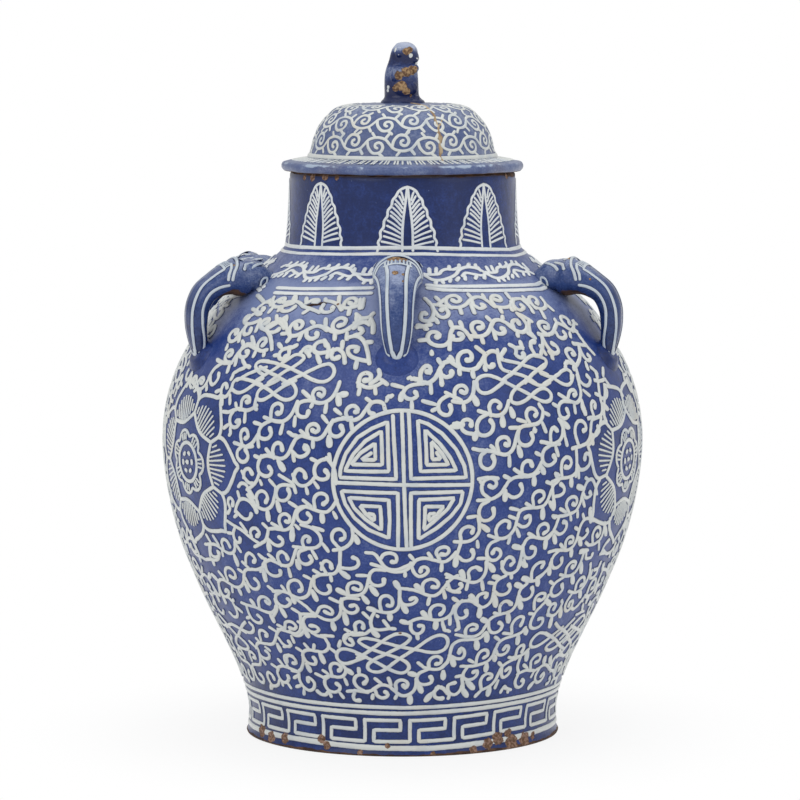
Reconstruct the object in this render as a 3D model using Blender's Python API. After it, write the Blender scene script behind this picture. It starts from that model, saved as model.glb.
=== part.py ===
"""A slip-trailed stoneware jar with a lift-off lid and six elephant-head handles.

Metres, +Z up. The origin is the middle of the foot, on the surface that the jar
stands on. The jar is thrown round Z, and its front handle faces -Y.
"""

import math

import bmesh
import bpy
import numpy as np

# Jar wall: radii are of the outer face, heights are above the standing surface
FOOT_RADIUS = 0.1066
FOOT_BEVEL = 0.0014
FOOT_RING_WIDTH = 0.014
FOOT_RECESS = 0.004
FOOT_WAIST_RADIUS = 0.1055
FOOT_WAIST_HEIGHT = 0.019
BELLY_RADIUS = 0.1633
BELLY_HEIGHT = 0.201
SHOULDER_HEIGHT = 0.1305
NECK_HEIGHT = 0.0509
NECK_TOP_RADIUS = 0.0764
NECK_MID_FLARE = 0.0014
NECK_FOOT_FLARE = 0.0042
JAR_WALL = 0.0075
FLOOR_THICKNESS = 0.010

# Each pair is a share of the height, then of the change in radius, from the waist up to
# the belly, and from the belly up to the neck
LOWER_WALL_SHARES = ((0.16, 0.145), (0.39, 0.49), (0.62, 0.79), (0.82, 0.945))
SHOULDER_SHARES = (
    (0.19, 0.03),
    (0.38, 0.125),
    (0.56, 0.283),
    (0.71, 0.455),
    (0.84, 0.70),
    (0.93, 0.88),
)
# Heights of two points on the neck, as shares of the way from its foot to the rim
NECK_FILLET_SHARE = 0.11
NECK_MID_SHARE = 0.42

NECK_FOOT_HEIGHT = BELLY_HEIGHT + SHOULDER_HEIGHT
RIM_HEIGHT = NECK_FOOT_HEIGHT + NECK_HEIGHT
NECK_MID_RADIUS = NECK_TOP_RADIUS + NECK_MID_FLARE
NECK_FOOT_RADIUS = NECK_TOP_RADIUS + NECK_FOOT_FLARE

# Fits
SEAT_GAP = 0.0003
COLLAR_CLEARANCE = 0.0022

# Lid
LID_WALL = 0.006
FLANGE_OVERHANG = 0.0056
FLANGE_EDGE_HEIGHT = 0.0060
FLANGE_RISE = 0.0030
DOME_INSET = 0.0109
DOME_HEIGHT = 0.0373
COLLAR_WALL = 0.005
COLLAR_DEPTH = 0.013
DOME_FOOT_RADIUS = NECK_TOP_RADIUS - DOME_INSET

# Each pair is a share of the dome's height, then of the radius at its foot
DOME_SHARES = (
    (0.0, 1.0),
    (0.12, 0.96),
    (0.35, 0.925),
    (0.57, 0.872),
    (0.79, 0.768),
    (0.90, 0.69),
    (0.965, 0.56),
    (0.995, 0.28),
)
# Rounding of the flange's edge: shares of the overhang inwards and of the edge's height
FLANGE_EDGE_SHARES = ((0.34, 0.0), (0.05, 0.30), (0.0, 0.66), (0.22, 1.0))

# Handles: bearings in degrees from the front, positive towards +X. They were set round
# the shoulder by eye, the front one higher than the side ones and the rear ones lower
HANDLE_BEARINGS = {
    "front": -1.5,
    "right": 69.7,
    "rear_right": 143.0,
    "rear": -169.0,
    "rear_left": -121.0,
    "left": -67.5,
}
FRONT_HANDLE_LIFT = 0.0055
REAR_HANDLE_DROP = 0.0032
HANDLE_TOP_DROP = 0.0165
HANDLE_HEIGHT = 0.052
HANDLE_BOW = 0.0241
HEAD_WIDTH = 0.034
HEAD_DEPTH = 0.0258
# Along the chord from the handle's top to its tip, out from that chord, then the width
# and the depth of the section: shares of the chord, the bow, the head's width and depth
HANDLE_SHARES = (
    (0.055, -0.27, 0.80, 0.735),
    (0.124, 0.34, 0.90, 0.88),
    (0.195, 0.53, 1.0, 1.0),
    (0.270, 0.72, 0.98, 0.88),
    (0.399, 0.905, 0.85, 0.69),
    (0.535, 1.0, 0.75, 0.62),
    (0.680, 0.885, 0.68, 0.59),
    (0.795, 0.64, 0.63, 0.55),
    (0.868, 0.42, 0.565, 0.51),
    (0.946, 0.13, 0.46, 0.44),
    (1.003, -0.12, 0.36, 0.35),
)

# Clay pads under the trunks: a domed wad pressed on to the wall
PAD_WIDTH = 0.0315
PAD_LENGTH = 0.026
PAD_RISE = 0.0062
PAD_DROP = 0.0020

# Finial: a small beast that sits up on the dome and looks towards +X
FINIAL_HEIGHT = 0.0405
FINIAL_WIDTH = 0.0236
FINIAL_DEPTH = 0.0196
FINIAL_LEAN = 0.0030
FINIAL_SKIRT = 0.0034
FINIAL_SKIRT_SHARES = ((-0.10, 0.10, 0.98, 0.98), (0.0, 0.10, 0.98, 0.98))
# Height, lean, width and depth of each section, as shares of the finial's sizes
FINIAL_SHARES = (
    (0.10, -0.15, 0.98, 0.98),
    (0.27, -0.25, 1.0, 1.0),
    (0.46, -0.30, 0.97, 0.94),
    (0.56, -0.20, 0.94, 0.84),
    (0.66, 0.0, 0.88, 0.78),
    (0.76, 0.28, 0.84, 0.80),
    (0.86, 0.45, 0.76, 0.78),
    (0.93, 0.60, 0.60, 0.62),
    (0.98, 0.65, 0.36, 0.38),
)
# Limbs and face: centre as shares of the width, the depth and the height, then the three
# half sizes as shares of the width. A row that stands off the middle is made on both sides
LIMB_SHARES = {
    "thigh": (0.06, 0.36, 0.24, (0.30, 0.17, 0.25)),
    "paw": (0.30, 0.24, 0.07, (0.17, 0.13, 0.12)),
    "forearm": (0.12, 0.36, 0.50, (0.30, 0.14, 0.16)),
    "ear": (-0.12, 0.33, 0.83, (0.14, 0.09, 0.15)),
    "hands": (0.30, 0.0, 0.545, (0.15, 0.33, 0.15)),
    "muzzle": (0.29, 0.0, 0.715, (0.16, 0.28, 0.13)),
    "brow": (0.25, 0.0, 0.865, (0.14, 0.30, 0.10)),
    "tail": (-0.40, 0.0, 0.20, (0.14, 0.15, 0.28)),
}

# How finely round shapes are divided
TURNED_SIDES = 56
CURVE_STEPS = 2
HANDLE_SIDES = 14
FINIAL_SIDES = 16
LIMB_SIDES = 10
LIMB_RINGS = 5
PAD_SIDES = 18
PAD_RINGS = 8
SHARP_ANGLE = math.radians(40)

GLAZE_BLUE = (0.075, 0.105, 0.36, 1.0)
LID_BLUE = (0.16, 0.20, 0.40, 1.0)
BARE_CLAY = (0.30, 0.15, 0.075, 1.0)
GLAZE_ROUGHNESS = 0.28
CLAY_ROUGHNESS = 0.8


def clear_scene():
    """Removes whatever objects the scene starts with."""
    for old in list(bpy.data.objects):
        bpy.data.objects.remove(old, do_unlink=True)


def smooth_curve(points, steps):
    """A cubic curve through points, its knots spaced by the square root of each chord."""
    points = np.asarray(points, dtype=float)
    chords = np.linalg.norm(np.diff(points, axis=0), axis=1)
    knots = np.concatenate(([0.0], np.cumsum(np.sqrt(chords))))
    slopes = np.gradient(points, knots, axis=0)
    t = np.linspace(0.0, 1.0, steps, endpoint=False)[:, None]
    spans = []
    for start, end, lead, trail, span in zip(
        points, points[1:], slopes, slopes[1:], np.diff(knots)
    ):
        spans.append(
            (2 * t**3 - 3 * t**2 + 1) * start
            + (t**3 - 2 * t**2 + t) * span * lead
            + (3 * t**2 - 2 * t**3) * end
            + (t**3 - t**2) * span * trail
        )
    return np.vstack(spans + [points[-1:]])


def offset_outline(points, distance):
    """Moves each (radius, height) point square to an outline that climbs, outwards."""
    along = np.gradient(points, axis=0)
    along /= np.linalg.norm(along, axis=1)[:, None]
    outward = np.column_stack((along[:, 1], -along[:, 0]))
    return points + distance * outward


def material(name, colour, roughness):
    """A Principled material for one piece."""
    finish = bpy.data.materials.new(name)
    finish.use_nodes = True
    shader = finish.node_tree.nodes["Principled BSDF"]
    shader.inputs["Base Color"].default_value = colour
    shader.inputs["Roughness"].default_value = roughness
    shader.inputs["Metallic"].default_value = 0.0
    return finish


def new_object(name, verts, faces, colour=None, roughness=GLAZE_ROUGHNESS):
    """A smooth closed mesh. Without a colour it is a cutter, which isn't rendered."""
    mesh = bpy.data.meshes.new(name)
    mesh.from_pydata([tuple(v) for v in verts], [], faces)
    work = bmesh.new()
    work.from_mesh(mesh)
    bmesh.ops.recalc_face_normals(work, faces=work.faces)
    work.to_mesh(mesh)
    work.free()
    mesh.shade_smooth()
    mesh.set_sharp_from_angle(angle=SHARP_ANGLE)
    piece = bpy.data.objects.new(name, mesh)
    bpy.context.scene.collection.objects.link(piece)
    if colour is None:
        piece.hide_render = True
        piece.display_type = "WIRE"
    else:
        mesh.materials.append(material(name, colour, roughness))
    return piece


def stitched(rings, closed=False):
    """Vertices and faces of rings joined side by side; a ring of one point is a tip."""
    verts = [point for ring in rings for point in ring]
    starts = np.cumsum([0] + [len(ring) for ring in rings])
    pairs = list(zip(range(len(rings)), range(1, len(rings))))
    if closed:
        pairs.append((len(rings) - 1, 0))
    sides = max(len(ring) for ring in rings)
    faces = []
    for low, high in pairs:
        for side in range(sides):
            nxt = (side + 1) % sides
            corners = []
            for ring, place in ((low, side), (low, nxt), (high, nxt), (high, side)):
                corner = int(starts[ring]) + (place if len(rings[ring]) > 1 else 0)
                if corner not in corners:
                    corners.append(corner)
            faces.append(corners)
    return verts, faces


def turned(name, outline, closed=False, **finish):
    """A solid turned round Z from an outline of (radius, height) points.

    An open outline starts and ends on the axis, and a closed one is a ring's section.
    """
    angles = np.arange(TURNED_SIDES) * (2 * math.pi / TURNED_SIDES)
    rings = []
    for radius, height in outline:
        if radius == 0:
            rings.append([(0.0, 0.0, height)])
        else:
            x, y = radius * np.cos(angles), radius * np.sin(angles)
            rings.append([(a, b, height) for a, b in zip(x, y)])
    return new_object(name, *stitched(rings, closed), **finish)


def cut(piece, cutter, operation="DIFFERENCE"):
    """Adds an exact Boolean with a hidden object."""
    change = piece.modifiers.new(f"{operation.lower()}_{cutter.name}", "BOOLEAN")
    change.operation = operation
    change.solver = "EXACT"
    change.object = cutter


def wall_outline():
    """The jar's outer wall from the foot's edge up to the rim, as one smooth curve."""
    points = [(FOOT_RADIUS, FOOT_BEVEL), (FOOT_WAIST_RADIUS, FOOT_WAIST_HEIGHT)]
    for up, out in LOWER_WALL_SHARES:
        points.append(
            (
                FOOT_WAIST_RADIUS + out * (BELLY_RADIUS - FOOT_WAIST_RADIUS),
                FOOT_WAIST_HEIGHT + up * (BELLY_HEIGHT - FOOT_WAIST_HEIGHT),
            )
        )
    points.append((BELLY_RADIUS, BELLY_HEIGHT))
    for up, inwards in SHOULDER_SHARES:
        points.append(
            (
                BELLY_RADIUS + inwards * (NECK_FOOT_RADIUS - BELLY_RADIUS),
                BELLY_HEIGHT + up * (NECK_FOOT_HEIGHT - BELLY_HEIGHT),
            )
        )
    neck = RIM_HEIGHT - NECK_FOOT_HEIGHT
    fillet_radius = (NECK_FOOT_RADIUS + NECK_MID_RADIUS) / 2
    points += [
        (NECK_FOOT_RADIUS, NECK_FOOT_HEIGHT),
        (fillet_radius, NECK_FOOT_HEIGHT + NECK_FILLET_SHARE * neck),
        (NECK_MID_RADIUS, NECK_FOOT_HEIGHT + NECK_MID_SHARE * neck),
        (NECK_TOP_RADIUS, RIM_HEIGHT - JAR_WALL / 4),
    ]
    return smooth_curve(points, CURVE_STEPS)


def wall_radius(height):
    """The outer wall's radius at a height."""
    wall = wall_outline()
    return float(np.interp(height, wall[:, 1], wall[:, 0]))


def make_jar_body():
    """The thrown jar: foot ring, belly, shoulder and neck round one open hollow."""
    wall = wall_outline()
    floor = FOOT_RECESS + FLOOR_THICKNESS
    hollow = offset_outline(wall, -JAR_WALL)
    hollow = hollow[(hollow[:, 1] > floor + JAR_WALL) & (hollow[:, 1] < RIM_HEIGHT - JAR_WALL)]
    kept = np.arange(len(hollow)) % 2 == 0
    kept[-1] = True
    hollow = hollow[kept][::-1]
    ring_inner = FOOT_RADIUS - FOOT_RING_WIDTH
    rim_inner = NECK_TOP_RADIUS - JAR_WALL
    base = [
        (0, FOOT_RECESS),
        (ring_inner - FOOT_RECESS, FOOT_RECESS),
        (ring_inner, 0),
        (FOOT_RADIUS - FOOT_BEVEL, 0),
    ]
    rim = [
        (NECK_TOP_RADIUS - JAR_WALL / 4, RIM_HEIGHT),
        (rim_inner + JAR_WALL / 4, RIM_HEIGHT),
        (rim_inner, RIM_HEIGHT - JAR_WALL / 4),
    ]
    inside_floor = [(hollow[-1][0] - JAR_WALL, floor), (0, floor)]
    outline = base + [tuple(p) for p in wall] + rim + [tuple(p) for p in hollow] + inside_floor
    return turned("jar_body", outline, colour=GLAZE_BLUE)


def make_wall_cutter():
    """The jar's solid outer form grown by the seat gap, which seats the handles."""
    grown = offset_outline(wall_outline(), SEAT_GAP)
    outline = [(0, 0)] + [tuple(p) for p in grown] + [(0, RIM_HEIGHT)]
    return turned("jar_wall_cutter", outline)


def handle_frame(lift):
    """The handle's top and tip on the wall as (radius, height), in the plane y = 0."""
    top_height = NECK_FOOT_HEIGHT - HANDLE_TOP_DROP + lift
    tip_height = top_height - HANDLE_HEIGHT
    top = np.array((wall_radius(top_height), top_height))
    tip = np.array((wall_radius(tip_height), tip_height))
    return top, tip


def handle_mesh(lift, grow):
    """Vertices and faces of one handle, facing +X, its sections grown by a distance.

    Elliptical sections stand square to a curve that leaves the shoulder at the head,
    arches out over it and comes back down to the wall at the trunk's tip.
    """
    top, tip = handle_frame(lift)
    chord = tip - top
    length = np.linalg.norm(chord)
    along = chord / length
    outward = np.array((-along[1], along[0]))
    shares = np.array(HANDLE_SHARES)
    path = top + shares[:, :1] * length * along + shares[:, 1:2] * HANDLE_BOW * outward
    tangent = np.gradient(path, axis=0)
    tangent /= np.linalg.norm(tangent, axis=1)[:, None]
    angles = np.arange(HANDLE_SIDES) * (2 * math.pi / HANDLE_SIDES)
    rings = []
    for centre, run, share in zip(path, tangent, shares):
        half_width = share[2] * HEAD_WIDTH / 2 + grow
        half_depth = share[3] * HEAD_DEPTH / 2 + grow
        normal = np.array((-run[1], run[0]))
        lift = half_depth * np.cos(angles)
        side = half_width * np.sin(angles)
        rings.append(
            [(centre[0] + n * normal[0], s, centre[1] + n * normal[1]) for n, s in zip(lift, side)]
        )
    rings = [[(path[0][0], 0.0, path[0][1])]] + rings + [[(path[-1][0], 0.0, path[-1][1])]]
    return stitched(rings)


def ellipsoid_rings(centre, halves, sides, ring_count):
    """Rings of an ellipsoid with its poles along Z."""
    rings = [[(centre[0], centre[1], centre[2] - halves[2])]]
    for ring in range(1, ring_count):
        tilt = math.pi * ring / ring_count
        level = centre[2] - halves[2] * math.cos(tilt)
        angles = np.arange(sides) * (2 * math.pi / sides)
        x = centre[0] + halves[0] * math.sin(tilt) * np.cos(angles)
        y = centre[1] + halves[1] * math.sin(tilt) * np.sin(angles)
        rings.append([(a, b, level) for a, b in zip(x, y)])
    rings.append([(centre[0], centre[1], centre[2] + halves[2])])
    return rings


def pad_mesh(lift):
    """Vertices and faces of a trunk's pad: an ellipsoid laid flat along the wall."""
    height = handle_frame(lift)[1][1] - PAD_DROP
    below = np.array((wall_radius(height - PAD_RISE), height - PAD_RISE))
    above = np.array((wall_radius(height + PAD_RISE), height + PAD_RISE))
    run = (above - below) / np.linalg.norm(above - below)
    middle = np.array((wall_radius(height), height))
    halves = (PAD_RISE, PAD_WIDTH / 2, PAD_LENGTH / 2)
    verts, faces = stitched(ellipsoid_rings((0, 0, 0), halves, PAD_SIDES, PAD_RINGS))
    laid = []
    for out, side, up in verts:
        radius = middle[0] + out * run[1] + up * run[0]
        laid.append((radius, side, middle[1] - out * run[0] + up * run[1]))
    return laid, faces


def handle_lift(place):
    """How far a handle sits above the side handles."""
    if place == "front":
        return FRONT_HANDLE_LIFT
    return -REAR_HANDLE_DROP if place.startswith("rear") else 0


def make_handles(wall_cutter):
    """Six handles and their pads, each turned to its own bearing round the jar."""
    for place, bearing in HANDLE_BEARINGS.items():
        lift = handle_lift(place)
        handle = new_object(f"handle_{place}", *handle_mesh(lift, 0), colour=GLAZE_BLUE)
        grown = new_object(f"handle_{place}_cutter", *handle_mesh(lift, SEAT_GAP))
        pad = new_object(f"handle_pad_{place}", *pad_mesh(lift), colour=GLAZE_BLUE)
        for piece in (handle, grown, pad):
            piece.rotation_euler.z = math.radians(bearing) - math.pi / 2
        cut(handle, wall_cutter)
        cut(pad, wall_cutter)
        cut(pad, grown)


def lid_levels():
    """Heights of the flange's underside, of the dome's foot and of the dome's top."""
    underside = RIM_HEIGHT + SEAT_GAP
    foot = underside + FLANGE_EDGE_HEIGHT + FLANGE_RISE
    return underside, foot, foot + DOME_HEIGHT


def dome_outline():
    """The lid's outer face from the dome's foot up to its middle."""
    foot = lid_levels()[1]
    points = [(out * DOME_FOOT_RADIUS, foot + up * DOME_HEIGHT) for up, out in DOME_SHARES]
    return smooth_curve(points, CURVE_STEPS)


def make_lid_cover():
    """The lid's shell: a bun-shaped dome over a flange that covers the jar's rim."""
    underside, _, top = lid_levels()
    edge = NECK_TOP_RADIUS + FLANGE_OVERHANG
    flange = [
        (edge - inwards * FLANGE_OVERHANG, underside + up * FLANGE_EDGE_HEIGHT)
        for inwards, up in FLANGE_EDGE_SHARES
    ]
    dome = [tuple(point) for point in dome_outline()]
    hollow = offset_outline(dome_outline(), -LID_WALL)
    hollow = hollow[hollow[:, 0] > LID_WALL][::-2]
    mouth = float(hollow[:, 0].max())
    inside = [(0, top - LID_WALL)] + [tuple(point) for point in hollow] + [(mouth, underside)]
    return turned("lid_cover", inside + flange + dome + [(0, top)], colour=LID_BLUE)


def make_lid_collar():
    """The collar under the flange that keeps the lid centred in the neck."""
    outer = NECK_TOP_RADIUS - JAR_WALL - COLLAR_CLEARANCE
    inner = outer - COLLAR_WALL
    top = lid_levels()[0] - SEAT_GAP
    low = top - COLLAR_DEPTH
    section = [
        (inner, top),
        (outer, top),
        (outer, low + COLLAR_WALL / 4),
        (outer - COLLAR_WALL / 4, low),
        (inner + COLLAR_WALL / 4, low),
        (inner, low + COLLAR_WALL / 4),
    ]
    return turned("lid_collar", section, closed=True, colour=BARE_CLAY, roughness=CLAY_ROUGHNESS)


def limb(name, centre, halves):
    """A hidden ellipsoid that a Boolean union joins to the finial."""
    rings = ellipsoid_rings(centre, halves, LIMB_SIDES, LIMB_RINGS)
    return new_object(name, *stitched(rings))


def make_finial():
    """The beast on the lid: a lofted torso and head with limbs, face, tail and skirt."""
    top = lid_levels()[2]
    angles = np.arange(FINIAL_SIDES) * (2 * math.pi / FINIAL_SIDES)
    sections = [share + (FINIAL_SKIRT,) for share in FINIAL_SKIRT_SHARES]
    sections += [share + (0.0,) for share in FINIAL_SHARES]
    rings = []
    for up, lean, width, depth, flare in sections:
        height = top + up * FINIAL_HEIGHT
        x = lean * FINIAL_LEAN + (width * FINIAL_WIDTH / 2 + flare) * np.cos(angles)
        y = (depth * FINIAL_DEPTH / 2 + flare) * np.sin(angles)
        rings.append([(a, b, height) for a, b in zip(x, y)])
    crown = [(rings[-1][0][0] - rings[-1][FINIAL_SIDES // 2][0]) / 2]
    base_tip = [(0.0, 0.0, rings[0][0][2])]
    crown_tip = [(rings[-1][0][0] - crown[0], 0.0, top + FINIAL_HEIGHT)]
    finial = new_object("lid_finial", *stitched([base_tip] + rings + [crown_tip]), colour=GLAZE_BLUE)
    for name, (out, apart, up, halves) in LIMB_SHARES.items():
        for side in (-1, 1) if apart else (0,):
            centre = (out * FINIAL_WIDTH, side * apart * FINIAL_DEPTH, top + up * FINIAL_HEIGHT)
            shape = tuple(share * FINIAL_WIDTH for share in halves)
            cut(finial, limb(f"finial_{name}_{side}", centre, shape), "UNION")
    grown = offset_outline(np.vstack((dome_outline(), [(0.0, top)])), SEAT_GAP)
    seat = [(0, lid_levels()[1])] + [tuple(p) for p in grown[:-1]] + [(0, float(grown[-1][1]))]
    cut(finial, turned("finial_seat_cutter", seat))
    return finial


def main():
    """Builds every piece of the jar."""
    clear_scene()
    make_jar_body()
    make_handles(make_wall_cutter())
    make_lid_cover()
    make_lid_collar()
    make_finial()


main()
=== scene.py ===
"""The finished look of a slip-trailed lidded jar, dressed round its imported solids.

Lengths in the tables are millimetres, and bearings are degrees from the front, positive
towards +X. Everything that reaches a mesh is in metres, +Z up.
"""
import logging
import math
from dataclasses import dataclass, field, replace
from enum import Enum

import bpy
import numpy as np
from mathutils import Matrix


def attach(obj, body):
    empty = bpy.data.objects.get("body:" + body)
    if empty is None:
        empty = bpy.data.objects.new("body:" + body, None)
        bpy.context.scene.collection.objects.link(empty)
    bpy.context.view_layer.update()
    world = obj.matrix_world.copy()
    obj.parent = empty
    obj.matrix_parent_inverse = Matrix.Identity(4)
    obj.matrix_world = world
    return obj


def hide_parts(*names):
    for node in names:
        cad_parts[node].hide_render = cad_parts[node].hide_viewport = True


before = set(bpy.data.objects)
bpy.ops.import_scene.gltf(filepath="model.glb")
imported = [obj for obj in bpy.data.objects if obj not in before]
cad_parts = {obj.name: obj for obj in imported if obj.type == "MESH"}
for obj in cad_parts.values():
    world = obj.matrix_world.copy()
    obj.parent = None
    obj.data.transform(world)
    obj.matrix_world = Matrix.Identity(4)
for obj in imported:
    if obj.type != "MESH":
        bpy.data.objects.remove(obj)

MM = 0.001

Finish = bpy.types.Material
Piece = bpy.types.Object
Socket = bpy.types.NodeSocket
Colour = tuple[float, ...]
Line = tuple[tuple[float, float], ...]
Table = tuple[tuple[float, ...], ...]

log = logging.getLogger("jar")


class Body(Enum):
    """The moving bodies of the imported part."""

    JAR = "jar"
    LID = "lid"


class Slot(Enum):
    """The record's material slots."""

    BODY = "body_glaze"
    HANDLE = "handle_glaze"
    LID = "lid_glaze"
    FINIAL = "finial_glaze"
    CLAY = "bare_clay"


# Geometry


def smooth_curve(points: np.ndarray, steps: int) -> np.ndarray:
    """A cubic curve through points.

    Each span is a Hermite cubic whose end slopes are the finite differences of the points
    over knots spaced by the square root of the chords.

    Args:
        points: the points to pass through, one row each.
        steps: how many pieces each span is divided into.

    Returns:
        The points on the curve, the last one included.
    """
    points = np.asarray(points, dtype=float)
    chords = np.maximum(np.linalg.norm(np.diff(points, axis=0), axis=1), 1e-6)
    knots = np.concatenate(([0.0], np.cumsum(np.sqrt(chords))))
    slopes = np.gradient(points, knots, axis=0)
    span = np.diff(knots)[:, None, None]
    t = np.linspace(0.0, 1.0, steps, endpoint=False)[None, :, None]
    start, end = points[:-1, None, :], points[1:, None, :]
    lead, trail = slopes[:-1, None, :] * span, slopes[1:, None, :] * span
    rows = (
        (2 * t**3 - 3 * t**2 + 1) * start
        + (t**3 - 2 * t**2 + t) * lead
        + (3 * t**2 - 2 * t**3) * end
        + (t**3 - t**2) * trail
    )
    return np.vstack((rows.reshape(-1, points.shape[1]), points[-1:]))


def drawn_curve(points: Line | np.ndarray, steps: int) -> np.ndarray:
    """A smooth curve through points, or the straight line where there are only two."""
    spots = np.array(points)
    return smooth_curve(spots, steps) if len(spots) > 2 else spots


def run_along(path: np.ndarray) -> np.ndarray:
    """The length run along a path at each of its points."""
    return np.concatenate(([0.0], np.cumsum(np.linalg.norm(np.diff(path, axis=0), axis=1))))


def directions(vectors: np.ndarray) -> np.ndarray:
    """The vectors made 1 long."""
    return vectors / np.maximum(np.linalg.norm(vectors, axis=-1, keepdims=True), 1e-12)


def full_turn(count: int) -> np.ndarray:
    """Evenly spaced angles of a full turn in radians, from 0."""
    return np.arange(count) * (2 * math.pi / count)


def resampled(path: np.ndarray, spacing: float) -> np.ndarray:
    """Points at even spacing along a path.

    Args:
        path: the path's points, one row each.
        spacing: the distance wanted between points.

    Returns:
        At least three points, the path's own ends among them.
    """
    run = run_along(path)
    count = max(3, int(round(run[-1] / spacing)) + 1)
    marks = np.linspace(0.0, run[-1], count)
    return np.column_stack([np.interp(marks, run, path[:, k]) for k in range(path.shape[1])])


def bell(x: np.ndarray, middle: float, width: float) -> np.ndarray:
    """A bell of height 1: e to the minus half the squared distance in widths."""
    return np.exp(-0.5 * ((x - middle) / width) ** 2)


def ramp(x: np.ndarray, start: float, stretch: float) -> np.ndarray:
    """0 at the start and before it, 1 a stretch further and past that, straight between."""
    return np.clip((x - start) / stretch, 0, 1)


def waves(x: np.ndarray, seed: int, octaves: int = 4) -> np.ndarray:
    """A repeatable wavy value between about -1 and 1 along x.

    It is a sum of sines whose frequency doubles and whose size falls, each with a phase
    drawn from the seed.

    Args:
        x: where to read it, in radians.
        seed: what the phases are drawn from.
        octaves: how many sines there are.

    Returns:
        The value at each x.
    """
    phases = np.random.default_rng(seed).uniform(0.0, 2 * math.pi, octaves)
    total = np.zeros_like(np.asarray(x, dtype=float))
    for k, phase in enumerate(phases):
        total += np.sin(np.round(2.0**k * (1 + 0.3 * k)) * x + phase) / 1.6**k
    return total / 2.0


def put_mesh(
    name: str,
    verts: np.ndarray,
    quads: np.ndarray,
    finish: Finish,
    tris: np.ndarray | None = None,
    marks: dict[str, np.ndarray] | None = None,
    sharp: float = 180.0,
) -> Piece:
    """Puts arrays of corners and faces into a new smooth object at the origin.

    Args:
        name: the object's name.
        verts: corners in metres, one row each.
        quads: corner numbers of the four-sided faces.
        finish: the material.
        tris: corner numbers of the three-sided faces.
        marks: values kept on the corners, by name.
        sharp: the angle in degrees above which an edge is left sharp.

    Returns:
        The linked object.
    """
    tris = np.zeros((0, 3), dtype=np.int32) if tris is None else tris
    loops = np.concatenate((quads.ravel(), tris.ravel())).astype(np.int32)
    sizes = np.concatenate((np.full(len(quads), 4), np.full(len(tris), 3))).astype(np.int32)
    starts = np.concatenate(([0], np.cumsum(sizes)[:-1])).astype(np.int32)
    mesh = bpy.data.meshes.new(name)
    mesh.vertices.add(len(verts))
    mesh.vertices.foreach_set("co", verts.astype(np.float32).ravel())
    mesh.loops.add(len(loops))
    mesh.loops.foreach_set("vertex_index", loops)
    mesh.polygons.add(len(sizes))
    mesh.polygons.foreach_set("loop_start", starts)
    mesh.update(calc_edges=True)
    mesh.validate()
    for mark, values in (marks or {}).items():
        layer = mesh.attributes.new(mark, "FLOAT", "POINT")
        layer.data.foreach_set("value", values.astype(np.float32).ravel())
    mesh.shade_smooth()
    if sharp < 180.0:
        mesh.set_sharp_from_angle(angle=math.radians(sharp))
    mesh.materials.append(finish)
    piece = bpy.data.objects.new(name, mesh)
    bpy.context.scene.collection.objects.link(piece)
    return piece


def lattice(grid: np.ndarray) -> tuple[np.ndarray, np.ndarray, np.ndarray, np.ndarray]:
    """Corners and faces of a grid that closes on itself across, its poles made one corner.

    Rows run along the outline and columns round it, so that faces point outwards where the
    columns turn anticlockwise seen from past the last row.

    Args:
        grid: points as (rows, columns, 3); a row whose points coincide is a pole.

    Returns:
        The corners, which grid points they came from, the four-sided faces and the
        three-sided ones.
    """
    rows, cols = grid.shape[:2]
    index = np.arange(rows * cols).reshape(rows, cols)
    pole = np.ptp(grid, axis=1).max(axis=1) < 1e-9
    index[pole] = index[pole][:, :1]
    nxt = np.roll(index, -1, axis=1)
    corners = np.stack((index[:-1], nxt[:-1], nxt[1:], index[1:]), axis=-1).reshape(-1, 4)
    low = corners[:, 0] == corners[:, 1]
    high = corners[:, 2] == corners[:, 3]
    quads = corners[~low & ~high]
    tris = np.vstack((corners[low & ~high][:, [0, 2, 3]], corners[high & ~low][:, :3]))
    used, remap = np.unique(np.concatenate((quads.ravel(), tris.ravel())), return_inverse=True)
    quad_faces = remap[: quads.size].reshape(-1, 4)
    tri_faces = remap[quads.size :].reshape(-1, 3)
    return grid.reshape(-1, 3)[used], used, quad_faces, tri_faces


def put_lattice(
    name: str,
    grid: np.ndarray,
    finish: Finish,
    marks: dict[str, np.ndarray] | None = None,
    sharp: float = 180.0,
) -> Piece:
    """A closed-round grid as an object.

    Args:
        name: the object's name.
        grid: points in metres as (rows, columns, 3).
        finish: the material.
        marks: values on the grid's points, by name, as (rows, columns).
        sharp: the angle in degrees above which an edge is left sharp.

    Returns:
        The linked object.
    """
    verts, used, quads, tris = lattice(grid)
    kept = {mark: values.ravel()[used] for mark, values in (marks or {}).items()}
    return put_mesh(name, verts, quads, finish, tris, kept, sharp)


def joined(parts: list[np.ndarray]) -> tuple[np.ndarray, np.ndarray, np.ndarray]:
    """Several closed-round grids as one set of corners, quads and triangles.

    Args:
        parts: the grids, as lattice takes them.

    Returns:
        The corners, the four-sided faces and the three-sided ones.
    """
    verts, quads, tris, start = [], [], [], 0
    for grid in parts:
        corners, _, four, three = lattice(grid)
        verts.append(corners)
        quads.append(four + start)
        tris.append(three + start)
        start += len(corners)
    return np.vstack(verts), np.vstack(quads), np.vstack(tris)


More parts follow.
